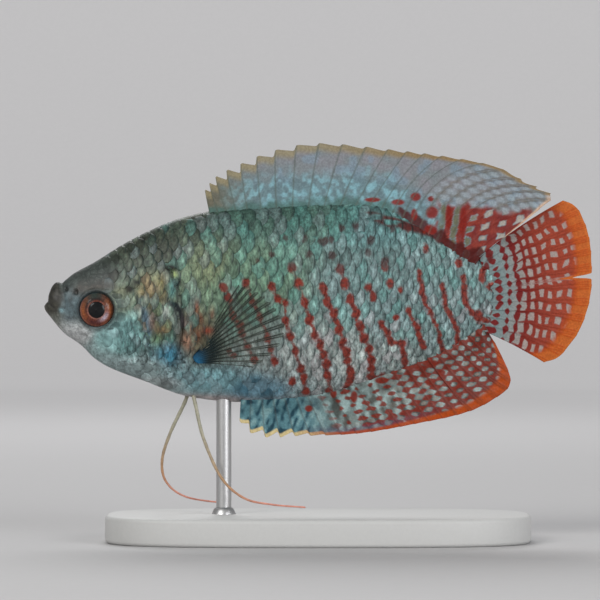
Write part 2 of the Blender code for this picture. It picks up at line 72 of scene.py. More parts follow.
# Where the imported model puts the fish: its snout tip, and the level of its mouth
SNOUT_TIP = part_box("lower_lip")[0].x / MM
MOUTH_LEVEL = (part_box("eye_left")[0].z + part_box("eye_left")[1].z) / 2 / MM - EYE_LEVEL

# Body outline with the lips, as (x, h), and (x, half width)
BACK = [(0.0, -0.2), (0.3, 0.3), (0.6, 0.8), (0.78, 1.7), (1.0, 2.45), (1.4, 3.05), (1.95, 3.38), (2.5, 3.3),
        (3.1, 3.66), (4.4, 4.7), (7.3, 6.4), (12.4, 9.5), (18.4, 12.3), (24.2, 13.8), (32.4, 14.45),
        (44.7, 15.1), (49.0, 14.9), (52.4, 13.4), (57.4, 10.4), (61.3, 8.05), (65.0, 7.1), (66.4, 6.9)]
BELLY = [(0.0, -0.2), (0.12, -0.7), (0.45, -1.2), (1.02, -1.9), (1.65, -2.7), (2.4, -3.6), (3.1, -4.3),
         (4.2, -5.05), (5.5, -6.05), (7.3, -7.9), (9.6, -9.3), (14.75, -11.3), (20.6, -13.4), (28.6, -14.3),
         (37.4, -13.9), (43.0, -12.95), (49.1, -11.1), (57.8, -8.2), (61.5, -6.4), (65.0, -3.9), (66.4, -3.4)]
HALF_WIDTH = [(0.0, 0.0), (0.3, 0.72), (0.8, 1.15), (1.5, 1.6), (2.5, 2.0), (3.5, 2.35), (7.8, 3.5),
              (13.0, 4.35), (20.0, 5.05), (28.0, 5.25), (38.0, 4.9), (48.0, 3.9), (56.0, 2.75), (62.0, 1.75),
              (65.0, 1.25), (66.4, 1.0)]
WIDEST_SHARE = 0.48
RIDGE_POWER = 1.1
FLANK_POWER = 0.92
STALK_ROUND, STALK_TIP = 64.6, 66.3
SKIN_SINK = 0.16

# Skin mesh: places along the body and round it
SKIN_STATIONS = [(0.02, 0), (0.6, 24), (4.0, 90), (10.6, 200), (21.6, 360), (66.28, 560)]
SKIN_ROUND = 176
SKIN_STEP = 0.02
# How much darker the skin is painted where the scales lie over it: painted shade under the scales
SHADE_UNDER_SCALES = 0.62

# Where the skin's slope is read: the nearest angle to the ridge, and the steps along x and of the angle
TURN_LIMIT = 1.55
SLOPE_STEP, TURN_STEP = 0.05, 0.01

# Head features, as lines of (x, h)
MOUTH_LINE = [(-0.6, 0.95), (0.6, 0.4), (1.7, -0.65), (2.3, -1.9)]
LIP_REAR = [(2.55, 3.9), (2.75, 2.2), (3.05, 0.6), (3.5, -1.4)]
CHEEK_LINE = [(14.4, 1.6), (14.6, -1.8), (15.3, -5.6), (15.9, -7.9)]
JAW_LINE = [(3.6, -2.1), (5.4, -4.2), (8.6, -6.6), (12.6, -8.9), (15.6, -9.6)]
GILL_EDGE_X, GILL_EDGE_H, GILL_EDGE_BEND = 20.3, -2.2, 0.037
GILL_TOP, GILL_FOOT = 5.3, -9.8
NOSTRILS = [(3.3, 2.3, 0.3), (4.7, 1.9, 0.36)]

# Eyes
EYE_RADIUS, EYE_HALF_DEPTH, EYE_BULGE = 2.6, 1.5, 0.72
PUPIL_SHARE = 0.46
EYE_RINGS, EYE_SPOKES = 44, 120

# Scales: (x, spacing) of the columns, and of the rows above the middle of the side
COLUMN_PITCH = [(8.0, 1.25), (14.0, 1.4), (20.0, 1.55), (27.0, 1.82), (36.0, 1.82), (44.0, 1.68),
                (52.0, 1.48), (62.0, 1.36), (66.4, 1.2)]
ROW_PITCH = [(8.0, 1.25), (14.0, 1.45), (22.0, 1.8), (34.0, 2.05), (46.0, 2.05), (54.0, 1.6), (62.0, 1.34),
             (66.4, 1.15)]
SCALE_ROWS = (-13, 11)
LOWER_ROWS = 0.8
ROW_LEAN = 0.42
SCALE_WIDE = 0.86
SCALE_LONG = 1.3
SCALE_LIFT, SCALE_THICK = 0.13, 0.04
SCALE_ALONG, SCALE_ACROSS = 8, 12
SCALE_PATCH = 0.003
FIRST_SCALE, LAST_SCALE = 9.2, 65.4

# How far the columns run on past the first and last scale, as the rows lean
COLUMNS_BEYOND = 18.0

# How far scales keep from the gill opening on the cover and behind it, and how softly they are held back
COVER_CLEAR, BEHIND_CLEAR, HELD_SOFTLY = 0.12, 0.2, 0.25

# Red bars down the flank, as (radius of a bead, half width between beads, [(x, h) of each bead])
RED_BARS = [
    (0.55, 0.16, [(26.3, 2.5), (27.0, 1.0), (27.6, -1.6), (28.6, -2.9), (28.9, -4.1), (29.6, -6.0),
                  (30.7, -7.9)]),
    (0.55, 0.16, [(29.5, 3.2), (30.5, 0.4), (31.5, -1.8), (32.6, -4.7), (33.1, -6.4), (33.7, -8.2)]),
    (0.55, 0.16, [(33.3, 2.6), (34.2, 0.9), (35.2, 0.3), (35.2, -2.2), (35.9, -4.5)]),
    (0.55, 0.22, [(35.9, -4.5), (36.6, -6.6), (37.5, -9.2), (37.8, -10.5), (38.1, -12.4)]),
    (0.60, 0.00, [(36.1, 5.3), (37.1, 3.2), (38.0, 0.4)]),
    (0.60, 0.24, [(38.0, 0.4), (38.7, -2.2), (39.4, -4.4), (40.3, -5.8), (40.7, -7.2), (41.2, -8.6),
                  (41.3, -10.2), (41.6, -12.7)]),
    (0.62, 0.30, [(40.6, 2.5), (41.2, 0.6), (42.3, -1.2), (42.9, -3.5), (43.5, -5.4), (44.1, -7.0),
                  (44.2, -8.0), (44.7, -9.6), (44.7, -10.7), (44.2, -12.1)]),
    (0.64, 0.00, [(43.1, 5.3), (43.9, 3.1), (44.5, 0.9)]),
    (0.64, 0.32, [(44.5, 0.9), (45.4, -1.3), (46.0, -3.1), (46.7, -4.8), (47.3, -6.4), (47.7, -8.0),
                  (47.7, -9.2), (47.7, -10.4), (49.3, -10.7), (49.5, -12.1)]),
    (0.55, 0.28, [(47.2, 2.6), (47.9, 1.2)]),
    (0.50, 0.30, [(49.1, -2.8), (50.1, -4.2), (50.5, -5.3), (52.1, -5.7), (52.6, -8.2), (52.7, -9.8),
                  (53.0, -11.4), (53.9, -12.1)]),
    (0.40, 0.30, [(53.0, -0.7), (53.7, -2.0), (54.3, -3.4), (55.3, -6.1)]),
    (0.38, 0.30, [(54.6, 4.8), (54.8, 3.6), (55.0, 1.9), (55.6, 0.0), (56.4, -1.3), (57.1, -3.1),
                  (57.5, -4.2), (58.0, -6.6)]),
    (0.36, 0.30, [(58.0, 2.8), (58.4, 0.3), (59.0, -1.3), (59.6, -2.5), (60.3, -3.9), (60.3, -6.0)]),
    (0.40, 0.34, [(61.2, 4.1), (61.2, 1.9), (61.3, 0.3), (62.2, -1.0), (63.1, -1.6)]),
    (0.42, 0.36, [(65.0, 7.6), (64.5, 6.3), (63.9, 5.0), (63.8, 3.6)]),
    (0.45, 0.20, [(54.2, -9.1), (55.5, -8.8), (57.5, -8.3)]),
]
# Single red spots, as (x, h, radius)
RED_SPOTS = [(27.0, -6.6, 0.40), (27.7, -7.4, 0.40), (36.2, -11.1, 0.50), (50.4, 3.1, 0.55),
             (49.6, 5.5, 0.50), (52.0, 2.2, 0.42), (51.2, -1.8, 0.40), (60.4, 6.1, 0.50),
             (65.7, -1.2, 0.60), (63.4, -1.7, 0.75), (64.3, -2.4, 0.50), (65.1, 2.6, 0.55),
             (38.1, 9.6, 0.40), (38.5, 7.4, 0.45), (42.0, 7.2, 0.50), (43.4, 11.2, 0.45),
             (45.4, 11.4, 0.45), (47.6, 9.5, 0.55), (47.2, 7.6, 0.50), (49.6, 6.3, 0.50), (41.0, 9.3, 0.50),
             (40.3, 9.3, 0.40), (41.9, 9.5, 0.40), (50.8, 11.1, 0.50), (53.0, 11.1, 0.50),
             (55.3, 11.1, 0.50), (55.6, 8.3, 0.50), (58.0, 9.9, 0.50), (57.5, -9.9, 0.45),
             (55.9, -11.2, 0.50), (59.6, -8.8, 0.45), (59.6, -10.1, 0.50), (58.1, -11.5, 0.50),
             (61.2, -10.7, 0.50), (62.3, -11.2, 0.50), (35.2, 9.8, 0.35), (33.3, 7.4, 0.35),
             (31.2, 6.3, 0.35), (62.3, -5.1, 0.55), (62.6, -6.6, 0.50)]

# Dark red band along the base of the rear dorsal fin: its line of (x, h), and its reach to either side
RED_BAND = [(47.5, 12.9), (52.0, 11.7), (55.6, 10.8), (58.4, 9.4), (61.3, 7.6), (64.8, 7.1)]
RED_BAND_REACH = 0.85
RED_BAND_HUE = (70, 22, 20)

SEED = 20


def curve(points, at, column=1):
    """Values at places of a smooth curve through points, which are rows of (place, value, ...)."""
    table = np.array([[row[0], row[column]] for row in points], float)
    places, values = table[:, 0], table[:, 1]
    at = np.clip(np.asarray(at, float), places[0], places[-1])
    number, last = np.arange(len(places)), len(places) - 1
    i = np.clip(np.searchsorted(places, at, side="right") - 1, 0, last - 1)
    low, high = np.maximum(number - 1, 0), np.minimum(number + 1, last)
    slopes = (values[high] - values[low]) / (places[high] - places[low])
    step = places[i + 1] - places[i]
    t = (at - places[i]) / step
    rise = values[i + 1] - values[i]
    start, end = slopes[i] * step, slopes[i + 1] * step
    return values[i] + t * start + t * t * (3 * rise - 2 * start - end) + t ** 3 * (start + end - 2 * rise)


def ease(t):
    """0 to 1 with soft ends."""
    t = np.clip(t, 0.0, 1.0)
    return t * t * (3 - 2 * t)


def hump(distance, reach):
    """1 at no distance, falling softly to 0 past the reach."""
    return np.exp(-(distance / reach) ** 2)


def mixed(a, b, t):
    return a + (b - a) * t


def signed_power(value, power):
    return np.sign(value) * np.abs(value) ** power


def unit(vectors):
    return vectors / np.maximum(np.linalg.norm(vectors, axis=-1, keepdims=True), 1e-9)


def mottle(x, y, along, up, seed, tilt=0.0):
    """Smooth random blotches from 0 to 1, about along by up millimetres, turned by tilt degrees."""
    c, s = math.cos(math.radians(tilt)), math.sin(math.radians(tilt))
    u, v = (x * c + y * s) / along + 500.3, (y * c - x * s) / up + 500.7
    table = np.random.default_rng(seed).random((64, 64))
    i, j = np.floor(u).astype(int), np.floor(v).astype(int)
    a, b = ease(u - i), ease(v - j)
    low = mixed(table[i % 64, j % 64], table[(i + 1) % 64, j % 64], a)
    high = mixed(table[i % 64, (j + 1) % 64], table[(i + 1) % 64, (j + 1) % 64], a)
    return mixed(low, high, b)


def rgb(*screen):
    """A linear colour from screen values of 0 to 255."""
    c = np.array(screen, float) / 255
    return np.where(c <= 0.04045, c / 12.92, ((c + 0.055) / 1.055) ** 2.4)


def place(x, y, h):
    """Points of the fish in the model's frame, in millimetres."""
    x, y, h = np.broadcast_arrays(x, y, h)
    return np.stack([x + SNOUT_TIP, y, h + MOUTH_LEVEL], axis=-1)


def to_line(x, h, line):
    """Signed distance from a line of (x, h) points, positive on its upper side, and the share along it."""
    best = np.full(np.shape(x), 1e9)
    sign = np.ones(np.shape(x))
    share = np.zeros(np.shape(x))
    for k, ((ax, ah), (bx, bh)) in enumerate(zip(line, line[1:])):
        dx, dh = bx - ax, bh - ah
        t = np.clip(((x - ax) * dx + (h - ah) * dh) / (dx * dx + dh * dh), 0, 1)
        distance = np.hypot(x - ax - t * dx, h - ah - t * dh)
        near = distance < best
        best = np.where(near, distance, best)
        sign = np.where(near, np.sign(dx * (h - ah) - dh * (x - ax)), sign)
        share = np.where(near, (k + t) / (len(line) - 1), share)
    return best * sign, share


def away_from(x, h, line):
    return to_line(x, h, line)[0]


def from_eye(x, h):
    """Distance from the middle of the eye."""
    return np.hypot(x - EYE_BACK, h - EYE_LEVEL)


# The body's surface

def section(x):
    """Top, widest level, bottom and half width of the skin at x."""
    shut = np.clip((x - STALK_ROUND) / (STALK_TIP - STALK_ROUND), 0, 1)
    share = np.sqrt(1 - shut ** 2)
    top, bottom = curve(BACK, x), curve(BELLY, x)
    sink = SKIN_SINK * ease((x - 3.0) / 5.0)
    level = mixed(bottom, top, WIDEST_SHARE)
    return (level + (top - level - sink) * share, level, level - (level - bottom - sink) * share,
            (curve(HALF_WIDTH, x) - sink) * share)


def flank(x, angle):
    """y and h of the skin at x, at an angle up from the widest level. y is positive or nought."""
    top, level, bottom, half_width = section(x)
    reach = np.where(np.sin(angle) > 0, top - level, level - bottom)
    y = half_width * np.maximum(np.cos(angle), 0) ** RIDGE_POWER
    return y, level + reach * signed_power(np.sin(angle), FLANK_POWER)


def flank_points(x, angle):
    """Points of the plain flank, with no relief, as (x, y, h)."""
    y, h = flank(x, angle)
    return np.stack([x, y, h], axis=-1)


def side_y(x, h):
    """How far the body's side is from the middle plane at a place on it."""
    top, level, bottom, half_width = section(x)
    share = (h - level) / np.where(h > level, top - level, level - bottom)
    sine = np.minimum(np.abs(share), 1) ** (1 / FLANK_POWER)
    return half_width * np.sqrt(1 - sine * sine) ** RIDGE_POWER


class Girth:
    """Turns a distance round the body from its widest level, up or down, into an angle."""

    def __init__(self, places=640, steps=200):
        self.x = np.linspace(0.3, STALK_TIP - 0.1, places)
        self.shares = np.linspace(0, 1, steps)
        self.angles, self.lengths = [], []
        for sign in (-1, 1):
            angle = sign * np.linspace(0, math.pi / 2, steps)
            y, h = flank(self.x[:, None], angle[None, :])
            arc = np.cumsum(np.hypot(np.diff(y, axis=1), np.diff(h, axis=1)), axis=1)
            arc = np.concatenate([np.zeros((places, 1)), arc], axis=1)
            self.lengths.append(arc[:, -1])
            turned = [np.interp(self.shares, row / row[-1], np.abs(angle)) for row in arc]
            self.angles.append(np.array(turned))

    def length(self, x, upper):
        return np.interp(x, self.x, self.lengths[int(upper)])

    def angle(self, x, arc):
        """The angle, and -1 where the distance runs past the ridge on to the other side."""
        result = np.zeros(np.shape(arc))
        flip = np.ones(np.shape(arc))
        spot = np.clip(np.interp(x, self.x, np.arange(len(self.x))), 0, len(self.x) - 1.001)
        low = spot.astype(int)
        for upper in (0, 1):
            mine = (arc > 0) == bool(upper)
            share = np.abs(arc) / self.length(x, upper)
            over = share > 1
            share = np.clip(np.where(over, 2 - share, share), 0, 1) * (len(self.shares) - 1)
            step = np.minimum(share.astype(int), len(self.shares) - 2)
            table = self.angles[upper]

            def read(row):
                return mixed(table[row, step], table[row, step + 1], share - step)

            found = mixed(read(low), read(low + 1), spot - low)
            result = np.where(mine, found if upper else -found, result)
            flip = np.where(mine & over, -1.0, flip)
        return result, flip


GIRTH = Girth()


def gill_edge(h):
    """x of the gill opening at a height."""
    return GILL_EDGE_X - GILL_EDGE_BEND * (h - GILL_EDGE_H) ** 2


def relief(x, h):
    """How far the skin stands out from the plain body at a place on its side."""
    mouth, jaw = away_from(x, h, MOUTH_LINE), away_from(x, h, JAW_LINE)
    shut = 1 - ease((x - 1.9) / 0.9)
    rise = shut * (0.1 * hump(mouth - 0.9, 0.6) + 0.03 * hump(mouth + 0.6, 0.5) - 0.06 * hump(mouth, 0.2))
    rise -= np.where(h > -1.6, 0.1 * hump(away_from(x, h, LIP_REAR), 0.3), 0)
    rise -= 0.07 * hump(jaw, 0.3) * ease((x - 3.6) / 1.5)
    eye = from_eye(x, h)
    rise -= 1.1 * (1 - ease((eye - EYE_RADIUS * 0.86) / (EYE_RADIUS * 0.16)))
    rise += 0.2 * hump(eye - EYE_RADIUS * 1.07, 0.3)
    for px, ph, radius in NOSTRILS:
        away = np.hypot(x - px, (h - ph) / 1.2)
        rise -= 0.3 * (1 - ease((away - radius * 0.4) / (radius * 0.8)))
        rise += 0.03 * hump(away - radius * 1.5, 0.2)
    rise -= 0.11 * hump(away_from(x, h, CHEEK_LINE), 0.2)
    behind = x - gill_edge(h)
    open_here = ease((GILL_TOP + 1.0 - h) / 2.0) * ease((h - GILL_FOOT + 1.0) / 2.0)
    cover = 0.3 * np.exp(np.minimum(behind, 0) / 3.2) * (behind < 0)
    gap = 0.16 * np.exp(-np.maximum(behind, 0) / 0.5) * (behind >= 0)
    return rise + (cover - gap) * open_here


def surface(x, arc, side, lift):
    """Points over the skin at x and at a distance round the body, raised by lift and by the relief."""
    angle, flip = GIRTH.angle(x, arc)
    turn = np.clip(angle, -TURN_LIMIT, TURN_LIMIT)
    back = flank_points(x + SLOPE_STEP, turn) - flank_points(x - SLOPE_STEP, turn)
    up = flank_points(x, turn + TURN_STEP) - flank_points(x, turn - TURN_STEP)
    base = flank_points(x, angle)
    base = base + unit(np.cross(up, back)) * (lift + relief(x, base[..., 2]))[..., None]
    return place(base[..., 0], base[..., 1] * flip * side, base[..., 2]), base[..., 2]


# Objects and meshes

def new_object(name, data):
    obj = bpy.data.objects.new(name, data)
    bpy.context.scene.collection.objects.link(obj)
    return obj


def make_mesh(name, points, faces, fields, corners=None):
    """An object from points in millimetres, faces, fields for each point, and a map for each face corner."""
    mesh = bpy.data.meshes.new(name)
    mesh.from_pydata((points * MM).tolist(), [], faces if isinstance(faces, list) else faces.tolist())
    for key, values in fields.items():
        if values.ndim == 2:
            solid = np.concatenate([values, np.ones((len(values), 1))], axis=1)
            attribute = mesh.color_attributes.new(key, "FLOAT_COLOR", "POINT")
            attribute.data.foreach_set("color", solid.astype(np.float32).ravel())
        else:
            mesh.attributes.new(key, "FLOAT", "POINT").data.foreach_set("value", values.astype(np.float32))
    if corners is not None:
        layer = mesh.uv_layers.new(name="OFBake")
        layer.data.foreach_set("uv", corners.astype(np.float32).ravel())
    mesh.shade_smooth()
    return new_object(name, mesh)


def grid_faces(rows, columns, start=0, flip=False):
    """Quads of a grid of points, numbered row by row."""
    corner = start + np.arange(rows - 1)[:, None] * columns + np.arange(columns - 1)[None, :]
    quads = np.stack([corner, corner + 1, corner + columns + 1, corner + columns], axis=-1).reshape(-1, 4)
    return quads[:, ::-1] if flip else quads


def ring_quads(rows, sides):
    """Quads between rings of points that are numbered ring by ring."""
    k = np.arange(sides)
    after, start = (k + 1) % sides, np.arange(rows - 1)[:, None] * sides
    corners = [start + k, start + after, start + sides + after, start + sides + k]
    return np.stack(corners, axis=-1).reshape(-1, 4).tolist()


def ring_faces(rows, sides):
    """Quads between rings, and triangles from the first and last ring to the two points that come after."""
    last, pole = (rows - 1) * sides, rows * sides
    turns = [(k, (k + 1) % sides) for k in range(sides)]
    first_cap = [[after, k, pole] for k, after in turns]
    last_cap = [[last + k, last + after, pole + 1] for k, after in turns]
    return ring_quads(rows, sides) + first_cap + last_cap


def dress(obj, slot, material, *nodes):
    """Gives a piece its material and its place in the frame."""
    obj.data.materials.append(material)
    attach(obj, "root")
    if nodes:
        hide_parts(*nodes)
    return obj


# Materials

class Paint:
    """A material whose colour comes from a field of the mesh, with fine natural variation."""

    def __init__(self, name, roughness, metallic=0.0, coat=0.0, coat_roughness=0.1, specular=0.5):
        self.material = bpy.data.materials.new(name)
        self.material.use_nodes = True
        self.nodes = self.material.node_tree.nodes
        self.links = self.material.node_tree.links
        self.shader = self.nodes["Principled BSDF"]
        self.feed(self.shader, {"Roughness": roughness, "Metallic": metallic, "Coat Weight": coat,
                                "Coat Roughness": coat_roughness, "Specular IOR Level": specular})

    def feed(self, node, inputs):
        """Fills a node's inputs, each by its name or number: sockets are linked, and the rest are set."""
        for key, value in inputs.items():
            if isinstance(value, bpy.types.NodeSocket):
                self.links.new(value, node.inputs[key])
            elif isinstance(value, np.ndarray):
                node.inputs[key].default_value = (*value, 1.0)
            else:
                node.inputs[key].default_value = value

    def node(self, kind, inputs, **settings):
        made = self.nodes.new(kind)
        for key, value in settings.items():
            setattr(made, key, value)
        self.feed(made, inputs)
        return made

    def field(self, name, output="Fac"):
        return self.node("ShaderNodeAttribute", {}, attribute_name=name).outputs[output]

    def spot(self):
        return self.node("ShaderNodeTexCoord", {}).outputs["Object"]

    def noise(self, size, detail=3.0, tall=1.0):
        """Noise whose blobs are about size millimetres across and tall times as high, from 0 to 1."""
        stretch = {0: self.spot(), 1: (1, 1, 1 / tall)}
        squash = self.node("ShaderNodeVectorMath", stretch, operation="MULTIPLY")
        inputs = {"Vector": squash.outputs["Vector"], "Scale": 1 / (size * MM), "Detail": detail,
                  "Roughness": 0.6}
        return self.node("ShaderNodeTexNoise", inputs).outputs["Fac"]

    def crack(self, size):
        """Distance from the edge of each of a pack of uneven cells about size millimetres across."""
        inputs = {"Vector": self.spot(), "Scale": 1 / (size * MM)}
        return self.node("ShaderNodeTexVoronoi", inputs, feature="DISTANCE_TO_EDGE").outputs["Distance"]

    def ranged(self, value, low, high, out_low=0.0, out_high=1.0):
        """A value of low to high as out_low to out_high, with soft ends."""
        inputs = {"Value": value, "From Min": low, "From Max": high, "To Min": out_low, "To Max": out_high}
        return self.node("ShaderNodeMapRange", inputs, interpolation_type="SMOOTHSTEP").outputs["Result"]

    def maths(self, operation, a, b):
        return self.node("ShaderNodeMath", {0: a, 1: b}, operation=operation).outputs[0]

    def blend(self, share, a, b, mode="MIX"):
        """Mixes two colours, each a socket or a linear colour, by a share."""
        made = self.node("ShaderNodeMix", {0: share, 6: a, 7: b}, data_type="RGBA", blend_type=mode)
        return made.outputs[2]

    def vary(self, colour, size, low, high, detail=3.0, tall=1.0):
        """Makes a colour lighter and darker in blobs of about size millimetres."""
        light = self.ranged(self.noise(size, detail, tall), 0.3, 0.7, low, high)
        made = self.node("ShaderNodeVectorMath", {0: colour, "Scale": light}, operation="SCALE")
        return made.outputs["Vector"]

    def bump(self, height, depth, strength):
        """Fine relief from a height of 0 to 1, depth millimetres deep."""
        made = self.node("ShaderNodeBump", {"Strength": strength, "Distance": depth * MM, "Height": height})
        self.feed(self.shader, {"Normal": made.outputs["Normal"]})

    def finish(self, colour):
        self.feed(self.shader, {"Base Color": colour})
        return self.material


def skin_material():
    paint = Paint("wet_skin", roughness=0.5, coat=0.08, coat_roughness=0.3, specular=0.3)
    colour = paint.vary(paint.field("paint", "Color"), 0.5, 0.7, 1.32)
    colour = paint.vary(colour, 0.2, 0.84, 1.16, detail=1.0)
    cracks = paint.ranged(paint.crack(0.85), 0.02, 0.16, 0.75, 0.0)
    cracks = paint.maths("MULTIPLY", cracks, paint.field("scaly"))
    colour = paint.blend(cracks, colour, rgb(38, 46, 42))
    paint.bump(paint.noise(0.22, 2.0), 0.05, 0.5)
    return paint.finish(colour)


def scale_material():
    paint = Paint("scales", roughness=0.46, metallic=0.1, coat=0.05, coat_roughness=0.3, specular=0.22)
    plain = paint.field("paint", "Color")
    colour = paint.vary(plain, 0.3, 0.6, 1.45, detail=2.0, tall=2.6)
    colour = paint.blend(paint.maths("MULTIPLY", paint.field("calm"), 0.75), colour, plain)
    colour = paint.vary(colour, 0.7, 0.84, 1.16, detail=2.0)
    glint = paint.ranged(paint.noise(0.36, 1.0, tall=2.2), 0.56, 0.66, 0.0, 0.42)
    glint = paint.maths("MULTIPLY", glint, paint.maths("SUBTRACT", 1.0, paint.field("calm")))
    colour = paint.blend(glint, colour, rgb(168, 202, 196), "SOFT_LIGHT")
    uneven_edge = paint.ranged(paint.noise(0.3), 0, 1, -0.14, 0.14)
    rim = paint.ranged(paint.maths("ADD", paint.field("edge"), uneven_edge), 0.02, 0.36, 1.0, 0.0)
    rim = paint.maths("MULTIPLY", rim, paint.ranged(paint.noise(0.8, 2.0), 0.35, 0.65, 0.35, 0.85))
    colour = paint.blend(rim, colour, rgb(34, 48, 46))
    rough_edge = paint.ranged(paint.noise(0.3), 0, 1, -0.15, 0.15)
    red = paint.ranged(paint.maths("ADD", paint.field("red"), rough_edge), -0.2, 0.22, 0.0, 0.96)
    red_skin = paint.blend(paint.ranged(paint.noise(0.45), 0.3, 0.7), rgb(78, 22, 16), rgb(128, 40, 24))
    dull = paint.field("dusk")
    red_skin = paint.blend(dull, red_skin, rgb(58, 28, 28))
    red = paint.maths("MULTIPLY", red, paint.ranged(dull, 0.0, 1.0, 1.0, 0.8))
    colour = paint.blend(red, colour, red_skin)
    paint.bump(paint.noise(0.12, 1.0), 0.02, 0.4)
    return paint.finish(colour)


def fin_material(name, roughness=0.5, see_through=False):
    paint = Paint(name, roughness=roughness, specular=0.12)
    colour = paint.vary(paint.field("paint", "Color"), 0.3, 0.86, 1.14, detail=2.0)
    paint.bump(paint.noise(0.15, 1.0), 0.02, 0.4)
    if see_through:
        paint.feed(paint.shader, {"Alpha": paint.field("solid")})
    return paint.finish(colour)


def eye_material():
    paint = Paint("eye_dome", roughness=0.5, coat=0.3, coat_roughness=0.03, specular=0.1)
    return paint.finish(paint.vary(paint.field("paint", "Color"), 0.2, 0.66, 1.3))


def thread_material():
    paint = Paint("threads", roughness=0.45, coat=0.15)
    return paint.finish(paint.vary(paint.field("paint", "Color"), 0.6, 0.85, 1.15))


def plain_material(name, colour, roughness, grain, depth, contrast, metallic=0.0):
    paint = Paint(name, roughness=roughness, metallic=metallic)
    speck = paint.noise(grain, 4.0)
    tone = paint.ranged(speck, 0.3, 0.7)
    paint.bump(speck, depth, 0.3)
    return paint.finish(paint.blend(tone, colour * (1 - contrast), colour * (1 + contrast)))


# Skin and scale colours: each hue lies round a place on the side, (x, h, reach along, reach up, colour)

HUES = {
    "crown": (7.0, 4.2, 4.5, 2.2, (59, 65, 62)),
    "nape": (15.5, 8.8, 6.0, 3.2, (57, 63, 53)),
    "nape_rear": (22.0, 12.4, 3.5, 2.4, (63, 68, 56)),
    "lips": (1.2, 0.9, 1.5, 1.9, (56, 54, 47)),
    "snout": (4.2, 0.2, 1.5, 1.8, (78, 93, 97)),
    "throat": (5.0, -4.4, 3.2, 1.5, (150, 152, 152)),
    "under_eye": (9.4, -4.7, 3.0, 1.5, (118, 153, 152)),
    "cheek": (12.3, -4.4, 2.2, 3.0, (95, 129, 128)),
    "lower_cheek": (13.0, -9.0, 5.0, 1.6, (140, 158, 158)),
    "behind_eye": (11.8, 1.2, 2.0, 2.4, (108, 120, 104)),
    "cover_tan": (15.8, 2.4, 2.2, 2.0, (110, 110, 84)),
    "cover_olive": (17.0, -2.0, 2.2, 3.2, (82, 96, 74)),
    "cover_blue": (18.2, -7.4, 1.8, 1.6, (66, 114, 130)),
    "shoulder": (24.5, 5.4, 3.2, 3.8, (106, 115, 88)),
    "pectoral_pit": (22.5, -4.0, 2.6, 3.4, (82, 77, 60)),
    "back": (33.0, 12.0, 13.0, 2.6, (72, 100, 90)),
    "back_rear": (49.0, 11.0, 6.0, 3.0, (90, 124, 124)),
    "flank_front": (30.0, 3.5, 8.0, 5.0, (100, 127, 107)),
    "flank_rear": (52.0, 2.5, 12.0, 6.0, (110, 133, 132)),
    "flank_low": (40.0, -7.5, 10.0, 4.0, (144, 152, 149)),
    "stalk": (63.0, 1.0, 3.0, 5.0, (108, 131, 130)),
    "belly_front": (17.0, -11.4, 5.0, 1.2, (138, 148, 148)),
    # The belly hue is the belly's own pale colour, painted lighter as well to stand in for light from below
    "belly": (24.0, -11.0, 6.0, 1.8, (106, 142, 148)),
    "belly_blue": (31.0, -12.0, 4.2, 1.9, (66, 108, 126)),
    # The belly's pale lower edge is its own pale colour with painted light, reflected up from the floor, laid
    # over it
    "belly_edge": (22.0, -14.2, 10.0, 1.1, (160, 150, 150)),
}

# Painted shade along the slit of the gill opening, and along the fold in front of it
GILL_SLIT = [(18.6, 0.2), (19.3, 0.1), (19.9, -0.8), (20.2, -1.9), (20.35, -3.1)]
GILL_FOLD = [(18.8, -0.1), (19.25, -0.8), (19.55, -1.9)]

# Marks of the head and gill cover, as (x, h, reach along, reach up, strength, colour)
HEAD_MARKS = [
    (18.6, 5.3, 1.0, 0.5, 1.4, (16, 16, 14)),
    (19.2, 4.4, 0.45, 0.5, 0.8, (150, 164, 96)),
    (19.7, 3.3, 0.42, 0.9, 1.2, (22, 28, 24)),
    (18.9, 2.3, 0.5, 1.5, 0.85, (74, 122, 120)),
    (18.0, -0.9, 0.6, 1.0, 0.9, (160, 166, 160)),
    (12.5, 2.3, 0.6, 0.5, 1.5, (10, 10, 8)),
    (13.7, 3.3, 0.6, 0.42, 1.1, (26, 30, 25)),
    (11.4, 2.0, 0.8, 0.6, 0.5, (138, 140, 112)),
    # A painted highlight on the cheek behind the eye
    (13.3, -1.3, 0.75, 0.5, 0.7, (134, 166, 160)),
    (14.5, 1.9, 0.7, 0.7, 0.4, (150, 122, 80)),
    (16.2, 2.6, 0.9, 0.7, 0.3, (138, 112, 96)),
    (17.3, 3.3, 0.5, 1.4, 0.45, (132, 116, 60)),
    (16.0, -2.6, 0.6, 1.3, 0.45, (130, 92, 84)),
    (17.3, -3.6, 0.9, 0.6, 0.4, (138, 96, 64)),
    (16.6, -5.0, 0.8, 0.7, 0.4, (104, 132, 84)),
    (18.6, -7.0, 0.9, 1.1, 0.55, (52, 108, 134)),
    (21.0, -5.3, 0.8, 1.3, 0.65, (150, 104, 84)),
    (20.8, -2.4, 0.6, 0.9, 0.35, (132, 112, 116)),
    (22.4, -0.4, 0.32, 1.1, 0.75, (124, 60, 34)),
    (23.0, -2.0, 0.28, 0.8, 0.6, (116, 58, 36)),
    (24.6, -1.1, 0.26, 0.9, 0.6, (124, 62, 42)),
    (24.0, -3.7, 0.9, 0.5, 0.8, (120, 42, 24)),
    (21.6, -3.4, 0.3, 0.8, 0.6, (118, 66, 42)),
    (22.6, -4.3, 0.35, 0.9, 0.6, (112, 54, 34)),
]


